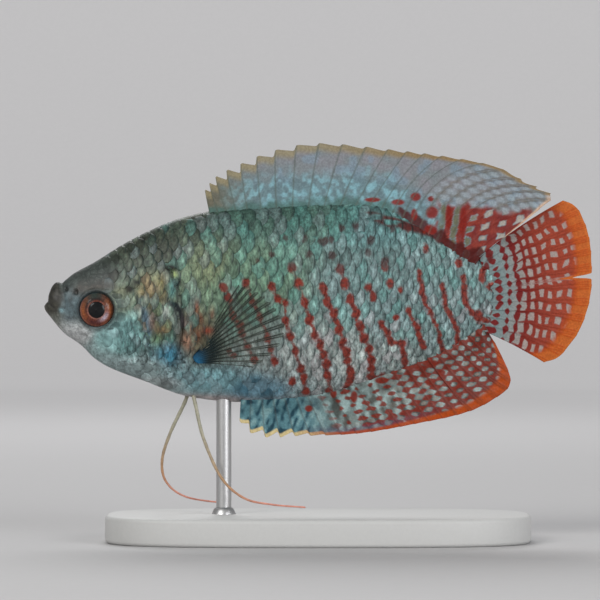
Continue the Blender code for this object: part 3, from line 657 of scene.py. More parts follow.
def hide_colour(x, h):
    """The skin's main colour at places on its side, out of the hues near them."""
    total = np.zeros(np.shape(x))
    colour = np.zeros((*np.shape(x), 3))
    for hx, hh, along, up, hue in HUES.values():
        weight = 1 / (0.02 + (((x - hx) / along) ** 2 + ((h - hh) / up) ** 2) ** 2)
        total = total + weight
        colour = colour + weight[..., None] * rgb(*hue)
    head = ease((22.0 - x) / 6.0)
    patches = 0.72 + 0.3 * mottle(x, h, 1.6, 1.9, 3) + 0.28 * mottle(x, h, 0.5, 0.8, 4)
    patches = patches + head * 0.55 * (mottle(x, h, 0.7, 0.75, 5) - 0.5)
    return colour / total[..., None] * patches[..., None]


def painted(colour, layers):
    """Colours under layers of (share, hue), laid on in turn. A hue is a screen colour or an array."""
    for share, hue in layers:
        linear = hue if isinstance(hue, np.ndarray) else rgb(*hue)
        colour = mixed(colour, linear, np.clip(share, 0, 1)[..., None])
    return colour


def head_marks(x, h, colour):
    """Lines and patches that the bare skin of the head carries, also where scales start."""
    mouth, cheek, fold = (away_from(x, h, line) for line in (MOUTH_LINE, CHEEK_LINE, GILL_FOLD))
    chin = ease((3.4 - x) / 1.6) * ease((-0.6 - h) / 1.0)
    lip_end = 2.75 - 0.12 * np.abs(h - 1.0) - 0.25 * np.maximum(-h, 0)
    lips = ease((lip_end - x) / 0.6) * ease((h + 2.0) / 1.3)
    lip_tone = mixed(1.1, 0.55, ease((h + 0.6) / 2)) + 0.6 * mottle(x, h, 0.4, 0.5, 31)
    corner = np.hypot((x - 3.8) / 1.6, h + 1.85 + 0.25 * (x - 3.8))
    over_eye = h - 2.75 + 0.05 * (x - 8.0) ** 2 * (x < 8.0)
    brow = hump(over_eye, 0.7) * ease((x - 3.4) / 2.0) * ease((11.8 - x) / 2.0)
    blue = hump(cheek - 0.5, 0.45) * ease((h + 5.5) / 2) * ease((0.2 - h) / 1.5)
    inside = ease((GILL_TOP + 0.6 - h) / 1.2) * ease((h - GILL_FOOT) / 2.0)
    opening = hump(x - gill_edge(h) - 0.1, 0.32) * inside * ease((h + 7.5) / 3)
    slit, along_slit = to_line(x, h, GILL_SLIT)
    return painted(colour, [
        (0.6 * chin, (98, 99, 90)),
        (0.9 * lips, rgb(46, 45, 39) * lip_tone[..., None]),
        # Painted shade along the slit of the mouth
        (0.5 * hump(mouth, 0.2) * ease((2.4 - x) / 1.4), (32, 33, 30)),
        (0.85 * hump(np.hypot(x - 2.65, h + 0.75), 0.32), (126, 158, 164)),
        (0.7 * hump(corner, 0.26), (52, 58, 64)),
        # Painted shade in the nostril pits
        *((0.85 * hump(np.hypot(x - px, h - ph), radius * 1.35), (32, 34, 32))
          for px, ph, radius in NOSTRILS),
        (0.6 * brow, (62, 52, 45)),
        (0.9 * hump(from_eye(x, h) - EYE_RADIUS * 1.03, 0.27), (36, 44, 46)),
        (0.75 * hump(cheek, 0.26), (46, 66, 82)),
        (0.5 * blue, (58, 104, 134)),
        # Painted shade just behind the gill cover's edge, in the gill slit and along the fold in front of it
        (0.5 * opening, (40, 44, 42)),
        (0.97 * ease((mixed(0.34, 0.2, along_slit) + 0.16 - np.abs(slit)) / 0.2), (8, 14, 20)),
        (0.85 * ease((0.24 - np.abs(fold)) / 0.16), (20, 26, 30)),
        *((share * hump(np.hypot((x - mx) / along, (h - mh) / up), 1.0), hue)
          for mx, mh, along, up, share, hue in HEAD_MARKS),
    ])


def red_band(x, h):
    """How strong the dark red band is at each place. It breaks up towards the front."""
    ragged = RED_BAND_REACH * (0.75 + 0.5 * mottle(x, h, 0.8, 0.8, 41))
    whole = ease((mottle(x, h, 0.9, 0.7, 42) - mixed(0.62, -0.2, ease((x - 47.0) / 8.0))) / 0.2)
    return 0.95 * whole * ease((ragged - np.abs(away_from(x, h, RED_BAND))) / (0.5 * RED_BAND_REACH))


def red_marks(x, h):
    """How far inside a red bead, bar or spot each place is, in millimetres."""
    x = x + 0.3 * (mottle(x, h, 0.9, 0.9, 62) - 0.5)
    inside = np.full(np.shape(x), -9.0)
    beads = list(RED_SPOTS)
    for radius, neck, line in RED_BARS:
        inside = np.maximum(inside, neck * 1.15 - np.abs(away_from(x, h, line)))
        beads += [(bx, bh, radius) for bx, bh in line]
    for bx, bh, radius in beads:
        inside = np.maximum(inside, radius * 1.06 - np.hypot(x - bx, (h - bh) * 0.8))
    return inside + 0.3 * (mottle(x, h, 0.5, 0.5, 61) - 0.5)


def dusk(x, h):
    """1 where the red marks are dull and brownish, high on the flank, and less so near the shoulder."""
    return np.maximum(ease((h - 3.6) / 3.6) * ease((56.0 - x) / 5.0), 0.3 * ease((35.0 - x) / 8.0))


def build_skin():
    places, knots = np.array(SKIN_STATIONS, float).T
    x = np.interp(np.arange(knots[-1] + 1), knots, places)
    angle = np.linspace(0, math.tau, SKIN_ROUND, endpoint=False)
    xs, folds = np.meshgrid(x, np.arcsin(np.sin(angle)), indexing="ij")
    turn = np.clip(folds, -TURN_LIMIT, TURN_LIMIT)
    base = flank_points(xs, folds)
    h = base[..., 2]
    back = flank_points(xs + SKIN_STEP, folds) - base
    up = flank_points(xs, turn + SKIN_STEP) - flank_points(xs, turn - SKIN_STEP)
    spots = base + unit(np.cross(up, back)) * relief(xs, h)[..., None]
    side = np.where(np.cos(angle) < 0, -1.0, 1.0)
    points = place(spots[..., 0], spots[..., 1] * side, spots[..., 2]).reshape(-1, 3)
    poles = place(np.array([x[0] - 0.01, x[-1] + 0.01]), 0.0, np.array([h[0].mean(), h[-1].mean()]))

    colour = painted(head_marks(xs, h, hide_colour(xs, h)), [
        (red_band(xs, h), RED_BAND_HUE),
        (0.9 * ease(red_marks(xs, h) / 0.2 + 0.5), (104, 24, 18)),
    ])
    # Painted shade: the skin is darker where the scales lie over it
    colour = colour * np.where(xs > FIRST_SCALE + 1.5, SHADE_UNDER_SCALES, 1.0)[..., None]
    paint = np.concatenate([colour.reshape(-1, 3), colour[0, :1], colour[-1, :1]])
    scaly = ease((xs - 4.5) / 2.0) * ease((h - 0.5) / 1.5)
    scaly = scaly * ease((from_eye(xs, h) - EYE_RADIUS - 0.5) / 0.8)
    fields = {"paint": paint, "scaly": np.append(scaly.ravel(), [0.0, 0.0])}
    skin = make_mesh("skin", np.concatenate([points, poles]), ring_faces(*xs.shape), fields, skin_map(x))
    return dress(skin, "skin", skin_material(), "head", "trunk", "tail_stalk", "gill_cover_left",
                 "gill_cover_right", "upper_lip", "lower_lip")


def skin_map(x):
    """The skin's map: x runs across, the way round the body runs up, and the two caps are at the edges."""
    u = (x - x[0]) / (x[-1] - x[0]) * 0.98 + 0.01
    v = np.arange(SKIN_ROUND + 1) / SKIN_ROUND * 0.98 + 0.01
    quads = np.stack(np.broadcast_arrays(
        np.stack([u[:-1], u[:-1], u[1:], u[1:]], axis=-1)[:, None, :],
        np.stack([v[:-1], v[1:], v[1:], v[:-1]], axis=-1)[None, :, :]), axis=-1)
    caps = [((0.01, above), (0.01, below), (0.0, below)) for below, above in zip(v, v[1:])]
    caps += [((0.99, below), (0.99, above), (1.0, below)) for below, above in zip(v, v[1:])]
    return np.concatenate([quads.reshape(-1, 2), np.array(caps).reshape(-1, 2)])


# Scales

def column_places():
    """x of every column of scales where it crosses the middle of the side."""
    places = [FIRST_SCALE - COLUMNS_BEYOND]
    while places[-1] < LAST_SCALE + COLUMNS_BEYOND:
        places.append(places[-1] + float(curve(COLUMN_PITCH, places[-1])))
    return places


def row_pitch(x, arc):
    """Spacing of the rows, which is less below the middle of the side."""
    return curve(ROW_PITCH, x) * np.where(arc > 0, 1.0, LOWER_ROWS)


def scale_sites():
    """Places of the scales on one side: arrays of x, distance round the body and column spacing."""
    places = column_places()
    numbers = np.arange(len(places))
    sites = []
    for row in range(*SCALE_ROWS):
        for column in numbers:
            x = float(np.interp(column - row * ROW_LEAN, numbers, places))
            if not FIRST_SCALE < x < LAST_SCALE:
                continue
            pitch = float(row_pitch(x, row))
            if abs(row) * pitch < float(GIRTH.length(x, row > 0)) + 0.4 * pitch:
                sites.append((x, row * pitch, float(curve(COLUMN_PITCH, x))))
    return np.array(sites).T


def bare(x, h):
    """True where the head has no scales: the throat and round the eye."""
    return (from_eye(x, h) < EYE_RADIUS + 1.2) | ((away_from(x, h, JAW_LINE) < 0.5) & (x < 15))


def trimmed(xs, edge, on_cover, h):
    """Draws scales in at the gill opening, so that none crosses it."""
    there = ease((GILL_TOP + 0.8 - h) / 1.2) * ease((h - GILL_FOOT) / 1.2)
    front, rear = edge - COVER_CLEAR, edge + BEHIND_CLEAR
    before, after = front - xs, xs - rear
    held = np.where(on_cover, front - 0.5 * (before + np.hypot(before, HELD_SOFTLY)),
                    rear + 0.5 * (after + np.hypot(after, HELD_SOFTLY)))
    return mixed(xs, held, there)


def scale_template():
    """A single scale: its grid of shares along and across, and its faces, rim and underside."""
    along, across = SCALE_ALONG + 1, SCALE_ACROSS + 1
    u, w = np.meshgrid(np.linspace(0, 1, along), np.linspace(-1, 1, across), indexing="ij")
    top = grid_faces(along, across).tolist()
    number = np.arange(along * across).reshape(along, across)
    rim = list(number[0]) + list(number[1:, -1]) + list(number[-1, -2::-1]) + list(number[-2:0:-1, 0])
    under = {int(vertex): along * across + k for k, vertex in enumerate(rim)}
    sides = [[int(a), int(b), under[int(b)], under[int(a)]] for a, b in zip(rim[1:] + rim[:1], rim)]
    strips = []
    for c in range(SCALE_ACROSS):
        left = number[:, c] if c == 0 else number[[0, -1], c]
        right = number[:, c + 1] if c == SCALE_ACROSS - 1 else number[[0, -1], c + 1]
        strips.append([under[int(v)] for v in [*left, *right[::-1]]])
    return u.ravel(), w.ravel(), np.array(rim), top + sides + strips


def exposed(x, h):
    """1 where scales stand clear, falling to 0 where they fade into the bare skin of the head."""
    shown = ease((x - FIRST_SCALE) / 3.0) * ease((from_eye(x, h) - EYE_RADIUS - 1.0) / 1.8)
    belly = 1 - 0.75 * ease((-9.0 - h) / 2.5) * ease((37.0 - x) / 6.0)
    return shown * belly * np.where(x < 17, ease((away_from(x, h, JAW_LINE) - 0.3) / 1.4), 1.0)


def build_scales(name, side):
    rng = np.random.default_rng(SEED + side)
    x, arc, pitch = scale_sites()
    h = flank(x, GIRTH.angle(x, arc)[0])[1]
    keep = ~bare(x, h)
    x, arc, pitch, h = (values[keep] for values in (x, arc, pitch, h))
    count = len(x)
    u, w, rim, faces = scale_template()
    head = ease((23.0 - x) / 4.0)
    loose = mixed(0.035, 0.09, head)
    wide = row_pitch(x, arc) * SCALE_WIDE * (1 + rng.normal(0, 1, count) * loose)
    tilt = (rng.normal(0, 1, count) * loose)[:, None]
    x, arc = x + pitch * loose * rng.normal(0, 1, count), arc + pitch * loose * rng.normal(0, 1, count)
    shown = exposed(x, h)
    lift = SCALE_LIFT * mixed(1.0, 0.5, head) * rng.normal(1, 0.1, count) * mixed(0.25, 1.0, shown)
    low_arc, high_arc = GIRTH.length(x, False), GIRTH.length(x, True)
    from_ridge = np.where(arc > 0, high_arc, low_arc) - np.abs(arc)
    lift = lift * mixed(0.08, 1.0, ease((from_ridge - 0.1) / 2.0))

    p = pitch[:, None]
    rear = p * (0.5 - 0.5 * np.abs(w) ** mixed(3.0, 2.5, head)[:, None])
    front = -p * SCALE_LONG * (1 - 0.25 * w ** 2)
    s = mixed(front, rear, u)
    a = w * wide[:, None]
    s, a = s - a * tilt, a + s * tilt
    rise = mixed(-0.03, lift[:, None], u ** 0.9) + 0.03 * (1 - w ** 2) * u
    xs = trimmed(x[:, None] + s, gill_edge(h)[:, None], (x < gill_edge(h))[:, None], h[:, None])
    xs, arcs = np.clip(xs, 0.5, STALK_TIP - 0.15), arc[:, None] + a
    points, heights = surface(xs, arcs, side, rise)
    lower, _ = surface(xs[:, rim], arcs[:, rim], side, rise[:, rim] - SCALE_THICK)

    tone = 1 + rng.normal(0, 1, count) * mixed(0.13, 0.22, head)
    # About one scale in twelve, picked at random, is painted brighter as a sparkle of reflected light
    tone = np.clip(tone * np.where(rng.random(count) < 0.08, 1.18, 1.0), 0.6, 1.5)
    hue = rng.random(count)
    low = np.maximum(ease((-3.0 - h) / 4.0), ease((20.0 - x) / 6.0))
    sea = 0.34 * (hue > 0.72) * (1 - low)
    silver = 0.26 * (hue < 0.2)
    pink = 0.32 * (hue > 0.4) * (hue < 0.62) * ease((x - 33.0) / 10.0) * ease((4.0 - h) / 6.0)
    tan = 0.22 * (rng.random(count) < 0.4) * hump(x - 15.5, 3.2) * (h > -4.0) * (h < 4.5)
    # Painted highlight in the middle of each scale, and painted shade towards its edges; the scales are also
    # a little darker high on the back
    glow = hump((s - 0.04 * p) / p, 0.15) * hump(a, 0.6) * rng.uniform(0.5, 1.5, count)[:, None]
    shaded = mixed(1.0, 0.74 + 0.52 * glow, mixed(0.3, 1.0, shown)[:, None])
    shaded = shaded * (1 - 0.1 * ease((heights - 9.5) / 3.0))
    paint = painted(hide_colour(xs, heights) * tone[:, None, None], [
        (sea[:, None], (86, 144, 138)),
        (silver[:, None], (136, 152, 156)),
        (pink[:, None], (160, 144, 150)),
        (tan[:, None], (150, 108, 74)),
    ])
    paint = head_marks(xs, heights, paint * shaded[..., None])
    paint = painted(paint, [(red_band(xs, heights), RED_BAND_HUE)])
    fields = {
        "paint": paint,
        "edge": (rear - s) * 0.8 + 0.5 * (1 - shown[:, None]) + 0.42 * w ** 2,
        "red": red_marks(xs, heights),
        "calm": np.broadcast_to(1 - shown[:, None], xs.shape),
        "dusk": dusk(xs, heights),
    }

    def joined(top, below):
        return np.concatenate([top, below], axis=1).reshape(-1, *top.shape[2:])

    each = len(u) + len(rim)
    turned = faces if side > 0 else [face[::-1] for face in faces]
    block = [[vertex + each * k for vertex in face] for k in range(count) for face in turned]
    root = np.stack([x / STALK_TIP, (arc + low_arc) / (low_arc + high_arc)], axis=-1)
    local = np.stack([u - 0.5, w / 2], axis=-1) * SCALE_PATCH
    spots = (np.clip(root, 0, 1) * 0.97 + 0.015)[:, None, :] + np.concatenate([local, local[rim]])
    corners = spots.reshape(-1, 2)[np.concatenate(block)]
    fields = {key: joined(values, values[:, rim]) for key, values in fields.items()}
    return make_mesh(name, joined(points, lower), block, fields, corners)


# Fins

class Rays:
    """The rays of a fin as curved lines in its plane."""

    def __init__(self, count, root, tip, bend, step, columns, rows):
        """root, tip, bend and step are functions of a ray's number, which may fall between two rays."""
        self.columns = columns
        self.number = np.arange((count - 1) * columns + 1) / columns
        self.k = np.minimum(self.number.astype(int), count - 2)
        self.w = self.number - self.k
        self.root, self.tip = root(self.number), tip(self.number)
        chord = self.tip - self.root
        square = np.stack([-chord[:, 1], chord[:, 0]], axis=-1)
        self.knee = self.root + chord * 0.5 + square * bend(self.number)[:, None]
        self.length = np.linalg.norm(chord, axis=1)
        self.step = step(self.k + 1)
        self.rows = np.linspace(0, 1, rows + 1)


class Web:
    """The web on a fin's rays: points in the fin's plane, their way out along them, and the rays' relief."""

    def __init__(self, rays, forks, width, dip, slit_after=None, slit=0.0):
        """The margin dips between the rays and stops short in front of each spine. It may have one slit."""
        w = rays.w
        behind_spine = np.minimum(w / 0.9, 1) * ease((1 - w) / 0.1)
        short = rays.step * (behind_spine + 0.2 * hump(np.minimum(w, 1 - w), 0.07))
        short = short + dip * rays.length * 4 * w * (1 - w)
        if slit_after is not None:
            short = np.where(rays.k == slit_after, np.maximum(short, slit * hump(w - 0.5, 0.09)), short)
        self.t = rays.rows[:, None] * (1 - short / rays.length)
        t = self.t[..., None]
        self.points = rays.root * (1 - t) ** 2 + rays.knee * 2 * t * (1 - t) + rays.tip * t * t
        self.x, self.h = self.points[..., 0], self.points[..., 1]
        self.out, self.to_edge = self.t * rays.length, (self.t[-1] - self.t) * rays.length
        self.ridge = self.ray_ridge(rays, forks, width * (1 - 0.45 * self.t))

    def ray_ridge(self, rays, forks, wide):
        """1 on the middle of each ray and its branches, falling to 0 on the web between them."""
        first = rays.k * rays.columns
        gap = np.linalg.norm(self.points[:, first + rays.columns] - self.points[:, first], axis=-1)
        off = np.minimum(rays.w, 1 - rays.w) * gap
        fork = gap * forks * (0.13 * ease((self.t - 0.42) / 0.4))
        twig = gap * forks * (0.075 * ease((self.t - 0.68) / 0.3))
        return np.maximum(hump(off - fork - twig, wide), hump(off - fork + twig, wide))

    def half(self, taper, edge_taper):
        """Half thickness, with rays that get lower and an edge that gets thinner on the way out."""
        thick = WEB + RAY_HEIGHT * self.ridge * (1 - taper * self.t)
        return thick * (1 - edge_taper * ease((self.t - 0.9) * 10))

    def sway(self, amount, start, end):
        """A sideways sway that grows towards the rear of the fin and towards its edge."""
        return amount * ease((self.x - start) / (end - start)) * self.t

    def dots(self, marks, hue):
        """Layers of round marks, each (x, h, radius along, radius up)."""
        return [(0.92 * ease((1.15 - np.hypot((self.x - mx) / along, (self.h - mh) / up)) * 2.5), hue)
                for mx, mh, along, up in marks]


def pairs(*tables):
    """A function of a ray's number that reads x and h from the columns of a table, or of two tables."""
    first, last = tables[0], tables[-1]
    column = 2 if len(tables) == 1 else 1
    return lambda n: np.stack([curve(first, n), curve(last, n, column)], axis=-1)


def sheet_faces(rows, columns):
    """Faces of a closed sheet whose two sides are grids, the second after the first."""
    count = rows * columns
    front = grid_faces(rows, columns)
    back = grid_faces(rows, columns, start=count, flip=True)
    number = np.arange(count).reshape(rows, columns)
    rim = np.concatenate([number[0], number[1:, -1], number[-1, -2::-1], number[-2:0:-1, 0]])
    after = np.roll(rim, -1)
    edge = np.stack([after, rim, rim + count, after + count], axis=-1)
    return np.concatenate([front, back, edge])


def build_fin(name, web, half, sway, put, paint, material, slot, node, solid=None):
    """A fin out of its web, half thickness and sideways sway, with a colour at each point."""
    rows, columns = half.shape
    count = rows * columns
    cloud = np.concatenate([put(web.points, sway + way * half).reshape(-1, 3) for way in (-1, 1)])
    faces = sheet_faces(rows, columns)
    u, v = np.meshgrid(np.linspace(0.005, 0.49, columns), np.linspace(0.01, 0.99, rows))
    spots = np.concatenate([np.stack([u.ravel() + shift, v.ravel()], axis=-1) for shift in (0, 0.502)])
    edge = faces[-2 * (rows + columns - 2):].ravel()
    corners = spots[faces.ravel()]
    corners[-len(edge):] = spots[edge % count]
    fields = {"paint": np.concatenate([paint.reshape(-1, 3)] * 2)}
    if solid is not None:
        fields["solid"] = np.concatenate([solid.ravel()] * 2)
    return dress(make_mesh(name, cloud, faces, fields, corners), slot, material, node)


def upright(points, shift):
    """A fin's plane is the middle plane of the fish."""
    return place(points[..., 0], shift, points[..., 1])


def cells(w, d, pitch, stagger):
    """From 1 in the middle of each pale cell of a fin's web to -1 on the network round it."""
    return 0.5 * (np.cos(math.tau * (w - 0.5)) + np.cos(math.tau * (d / pitch + stagger)))


# Dorsal fin: roots as (ray number, x) and tips as (ray number, x, h), how far its web stops short of each
# spine, and the lean of its streaks in degrees. Red dots on a fin are (x, h, radius along, radius up)
DORSAL_RAYS = 25
DORSAL_ROOTS = [(0, 24.4), (4, 29.9), (8, 38.4), (12, 46.9), (15, 52.0), (24, 62.9)]
DORSAL_TIPS = [(0, 23.4, 16.9), (2, 24.9, 18.9), (4, 28.6, 20.8), (6, 33.7, 22.75), (8, 40.1, 23.7),
               (11, 50.2, 22.8), (14, 58.1, 21.8), (16, 64.0, 20.7), (17, 66.9, 19.8), (18, 69.5, 18.4),
               (19.5, 73.0, 16.7), (20.5, 74.3, 15.8), (22, 72.2, 13.9), (24, 67.2, 9.9)]
DORSAL_STEPS = [(0, 1.2), (3, 1.5), (4, 1.45), (5, 1.3), (6, 1.1), (7, 0.85), (8, 0.5), (10, 0.42),
                (15, 0.3), (17, 0.12), (25, 0.1)]
DORSAL_LEAN = [(0, 78), (6, 70), (11, 50), (24, 42)]
DORSAL_DOTS = [(47.9, 15.35, 1.2, 0.35), (51.6, 15.0, 1.0, 0.45), (54.2, 15.8, 0.8, 0.65),
               (56.6, 13.5, 0.95, 0.95), (56.4, 15.5, 0.45, 0.4), (59.0, 12.9, 0.5, 1.9),
               (61.1, 12.2, 0.6, 2.5), (54.0, 13.2, 0.5, 0.9), (56.4, 11.0, 1.0, 0.8)]

# Anal fin, and the width of its coloured rim at each ray
ANAL_SPINES, ANAL_RAYS = 16, 24
ANAL_ROOTS = [(0, 28.8), (3, 33.3), (9, 43.0), (16, 55.6), (23, 64.2)]
ANAL_TIPS = [(0, 28.5, -17.2), (1, 30.0, -18.8), (2.2, 32.7, -19.5), (4, 36.6, -19.2), (8, 45.6, -18.8),
             (12, 54.1, -17.4), (16, 62.3, -15.5), (18.5, 67.0, -12.9), (19.8, 68.1, -11.4),
             (21, 67.8, -9.6), (23, 65.9, -5.6)]
ANAL_DOTS = [(53.2, -9.0, 1.5, 0.45), (56.4, -8.5, 1.4, 0.5), (58.0, -9.9, 0.6, 0.5),
             (56.2, -11.3, 0.6, 0.5), (49.2, -11.0, 1.0, 0.5), (45.2, -13.4, 0.55, 0.9),
             (42.2, -12.9, 0.5, 0.6), (38.6, -15.1, 0.6, 0.5)]
ANAL_RIM = [(0, 0.5), (3, 0.55), (8, 0.5), (13, 0.85), (17, 1.5), (20, 2.0), (23, 0.9)]

# Tail fin
CAUDAL_RAYS = 12
CAUDAL_TOP, CAUDAL_BOTTOM = 7.0, -3.5
CAUDAL_ROOT_X, CAUDAL_ROOT_BOW = 63.4, 1.0
CAUDAL_TIPS = [(0, 75.8, 15.3), (0.5, 77.2, 14.8), (1, 78.2, 13.8), (2.6, 79.5, 10.6), (4.5, 80.0, 6.8),
               (6.5, 79.9, 1.6), (8.5, 78.5, -3.2), (9.7, 76.6, -6.1), (10.4, 74.9, -7.8), (11, 73.0, -8.4)]
CAUDAL_DOTS = [(65.0, 7.0, 0.5, 0.9), (64.5, 5.4, 0.45, 0.9), (64.1, 4.0, 0.4, 0.6), (64.6, -2.2, 0.6, 0.5)]

# Pectoral fins
PECTORAL_RAYS = 14
PECTORAL_ROOT = (23.0, -7.6)
PECTORAL_SPREAD = [(0, 57.0), (13, -4.0)]
PECTORAL_LENGTHS = [(0, 10.6), (4.8, 13.2), (8.9, 13.6), (13, 7.6)]
PECTORAL_SPLAY = 20.0

ROOT_SINK = 1.5
WEB, RAY_HEIGHT = 0.07, 0.15
DORSAL_SWAY, ANAL_SWAY, CAUDAL_SWAY = -1.5, 0.9, 1.3


def build_dorsal():
    def root(n):
        x = curve(DORSAL_ROOTS, n)
        return np.stack([x, section(x)[0] - ROOT_SINK], axis=-1)

    def bend(n):
        return mixed(0.02, 0.38, ease((n - 11) / 7)) * mixed(1.0, 0.3, ease((n - 20) / 4))

    rays = Rays(DORSAL_RAYS, root, pairs(DORSAL_TIPS), bend, lambda n: curve(DORSAL_STEPS, n),
                columns=14, rows=70)
    number = rays.number
    soft = ease((number - 15.5) / 1.5)
    web = Web(rays, soft * 0.8, width=0.14, dip=mixed(0.004, 0.05, hump(number - 19.2, 1.3)))
    x, h, to_edge = web.x, web.h, web.to_edge
    up = h - section(np.clip(x, 20, 65))[0]
    half = web.half(0.55, 0.55) + 0.9 * (1 - ease((up + 0.8) / 2.4))

    turned = np.radians(curve(DORSAL_LEAN, number))
    u, v = x * np.cos(turned) + h * np.sin(turned), h * np.cos(turned) - x * np.sin(turned)
    dabs = mottle(u, v, 1.0, 0.42, 11) * 0.6 + mottle(x, h, 0.5, 0.5, 12) * 0.5
    low = ease((6.2 - up + 1.6 * (mottle(x, h, 1.5, 1.5, 16) - 0.5)) / 4.0) * ease((number - 0.5) / 2.5)
    blue = ease((up - 2.0) / 3) * ease((mottle(x, h, 1.2, 1.6, 17) - 0.6) / 0.2)
    front = 1 - ease((number - 0.5) / 5.5)
    cell = cells(rays.w, web.out, 1.3, 0.5 * (rays.k % 2)) + 0.3 * mottle(x, h, 0.8, 0.8, 14) - 0.15
    high = soft * ease((up - 2.5) / 2)

    ragged = 1.2 * (mottle(x, h, 0.9, 0.9, 19) - 0.5)
    red_zone = ease((x - 56.9 + ragged) / 1.4) * ease((15.5 - 0.1 * (x - 57.0) - h + ragged) / 1.1)
    bend_x, bend_h = mottle(x, h, 1.4, 1.4, 15) - 0.5, mottle(x, h, 1.4, 1.4, 18) - 0.5
    columns = np.cos(math.tau * ((x - 64.5 - 0.22 * (h - 11.5) + 0.5 * bend_x) / 2.26))
    levels = np.cos(math.tau * ((h - 13.3 - 0.2 * (x - 64.5) + 0.5 * bend_h) / 1.75))
    pale = np.minimum(columns - 0.1, levels - 0.05 + 1.5 * ease((62.5 - x) / 2.0))
    pale = pale + 0.8 * (mottle(x, h, 0.45, 0.45, 20) - 0.5)
    red_hue = mixed(rgb(104, 26, 24), rgb(134, 50, 36), mottle(x, h, 0.7, 0.7, 25)[..., None])
    pale_hue = mixed(rgb(98, 98, 80), rgb(154, 148, 140), ease((x - 61.5) / 3.0)[..., None])

    tan = mixed(1.0, 0.75, ease((number - 9) / 6))
    edge_hue = mixed(rgb(136, 126, 98), rgb(132, 108, 66), ease((number - 7) / 7)[:, None])
    rim = (1 - ease((to_edge - tan * 0.5) / (tan * 1.1))) * (number < 20.5)
    tail_edge = ease((number - 19.8) / 1.5) * (1 - ease((to_edge - 0.25) / 0.5))
    colour = painted(rgb(114, 122, 124), [
        (0.6 * low, (92, 126, 134)),
        (0.75 * low * ease((dabs - 0.5) / 0.26), (128, 172, 182)),
        (0.45 * low * ease((0.47 - dabs) / 0.2), (86, 104, 110)),
        (0.45 * ease((up - 3.0) / 3) * mottle(x, h, 1.4, 1.1, 13), (138, 128, 138)),
        (0.4 * blue, (116, 140, 158)),
        (0.92 * front, (96, 92, 76)),
        (0.5 * high * ease((cell + 0.1) / 0.5), (150, 162, 168)),
        (0.5 * high * ease((-cell - 0.2) / 0.4), (108, 104, 94)),
        (0.96 * red_zone * ease((0.25 - pale) / 0.5), red_hue),
        (red_zone * ease((pale - 0.05) / 0.5), pale_hue),
        (0.85 * ease((1.5 - up + ragged) / 1.6) * ease((54 - x) / 4), (70, 100, 94)),
        (0.93 * ease((1.1 - up + ragged) / 0.6) * ease((x - 50.5 + ragged) / 2.0), RED_BAND_HUE),
        *web.dots(DORSAL_DOTS, (118, 30, 22)),
        (0.85 * rim, edge_hue),
        (0.85 * tail_edge, (196, 164, 138)),
        (0.6 * web.ridge * (1 - soft), (80, 88, 80)),
        (0.45 * web.ridge * soft * (1 - red_zone) * (1 - tail_edge), (96, 92, 82)),
    ])
    build_fin("dorsal_fin_web", web, half, web.sway(DORSAL_SWAY, 48, 74), upright, colour,
              fin_material("dorsal_web"), "fins", "dorsal_fin")


def build_anal():
    def root(n):
        x = curve(ANAL_ROOTS, n)
        return np.stack([x, section(x)[2] + ROOT_SINK], axis=-1)

    def bend(n):
        return np.where(n < ANAL_SPINES, -0.02, -0.06)

    rays = Rays(ANAL_RAYS, root, pairs(ANAL_TIPS), bend, lambda n: mixed(1.5, 0.06, ease(n / 7.5)),
                columns=14, rows=70)
    number = rays.number
    web = Web(rays, ease((number - 14.0) / 3.0) * 0.9, width=0.15, dip=0.002)
    x, h, to_edge = web.x, web.h, web.to_edge
    down = section(np.clip(x, 20, 65))[2] - h
    half = web.half(0.5, 0.5) + 1.1 * (1 - ease((down + 0.9) / 3.2))

    front, rear = 1 - ease((number - 4.5) / 3.5), ease((number - 9.0) / 7.0)
    streak = mottle(x - 0.35 * h, h, 0.45, 1.6, 23) + 0.35 * (mottle(x, h, 0.5, 0.6, 24) - 0.5)
    flecks = mottle(x, h, 0.6, 0.9, 21, tilt=20)
    blotch = mottle(x, h, 1.5, 1.2, 22, tilt=30)
    fine = mottle(x, h, 0.55, 0.45, 26) - 0.5
    checker = cells(rays.w, web.out, 1.15, 0.1 * np.sin(number * 2.3))
    checker = checker + 0.6 * (blotch - 0.5) + 1.1 * (1 - rear) * fine
    net = np.clip(rear * 0.95 + ease((3.8 - to_edge) / 2.4) * ease((number - 6.5) / 3) * 0.6, 0, 1)
    threshold = mixed(-0.42, 0.46, net)
    rim_wide = curve(ANAL_RIM, number)
    rim_hue = mixed(rgb(196, 178, 130), rgb(162, 66, 18), ease((number - 3.5) / 4)[:, None])
    above = hump(to_edge - rim_wide * 1.5, 0.5) * (1 - rear) * ease((number - 4) / 3)
    red = (116, 38, 26)
    plain = mixed(rgb(106, 122, 120), rgb(80, 118, 126), front[:, None])
    colour = painted(plain, [
        (0.9 * front * ease((0.52 - streak) / 0.26), (22, 52, 66)),
        (0.6 * front * ease((streak - 0.62) / 0.25), (128, 160, 160)),
        (0.85 * (1 - front) * ease((0.45 - flecks) / 0.25), (58, 60, 56)),
        (0.85 * (1 - front) * ease((flecks - 0.56) / 0.2), (148, 170, 168)),
        (0.92 * ease((threshold - checker) / 0.28) * ease((number - 6) / 2), red),
        (0.7 * net * ease((checker - threshold - 0.2) / 0.3), (146, 134, 124)),
        *web.dots(ANAL_DOTS, red),
        (0.95 * (1 - ease((to_edge - rim_wide * 0.75) / (rim_wide * 0.5))), rim_hue),
        (0.45 * above, (84, 66, 92)),
        (0.35 * web.ridge, (70, 56, 48)),
    ])
    build_fin("anal_fin_web", web, half, web.sway(ANAL_SWAY, 44, 68), upright, colour,
              fin_material("anal_web"), "fins", "anal_fin")


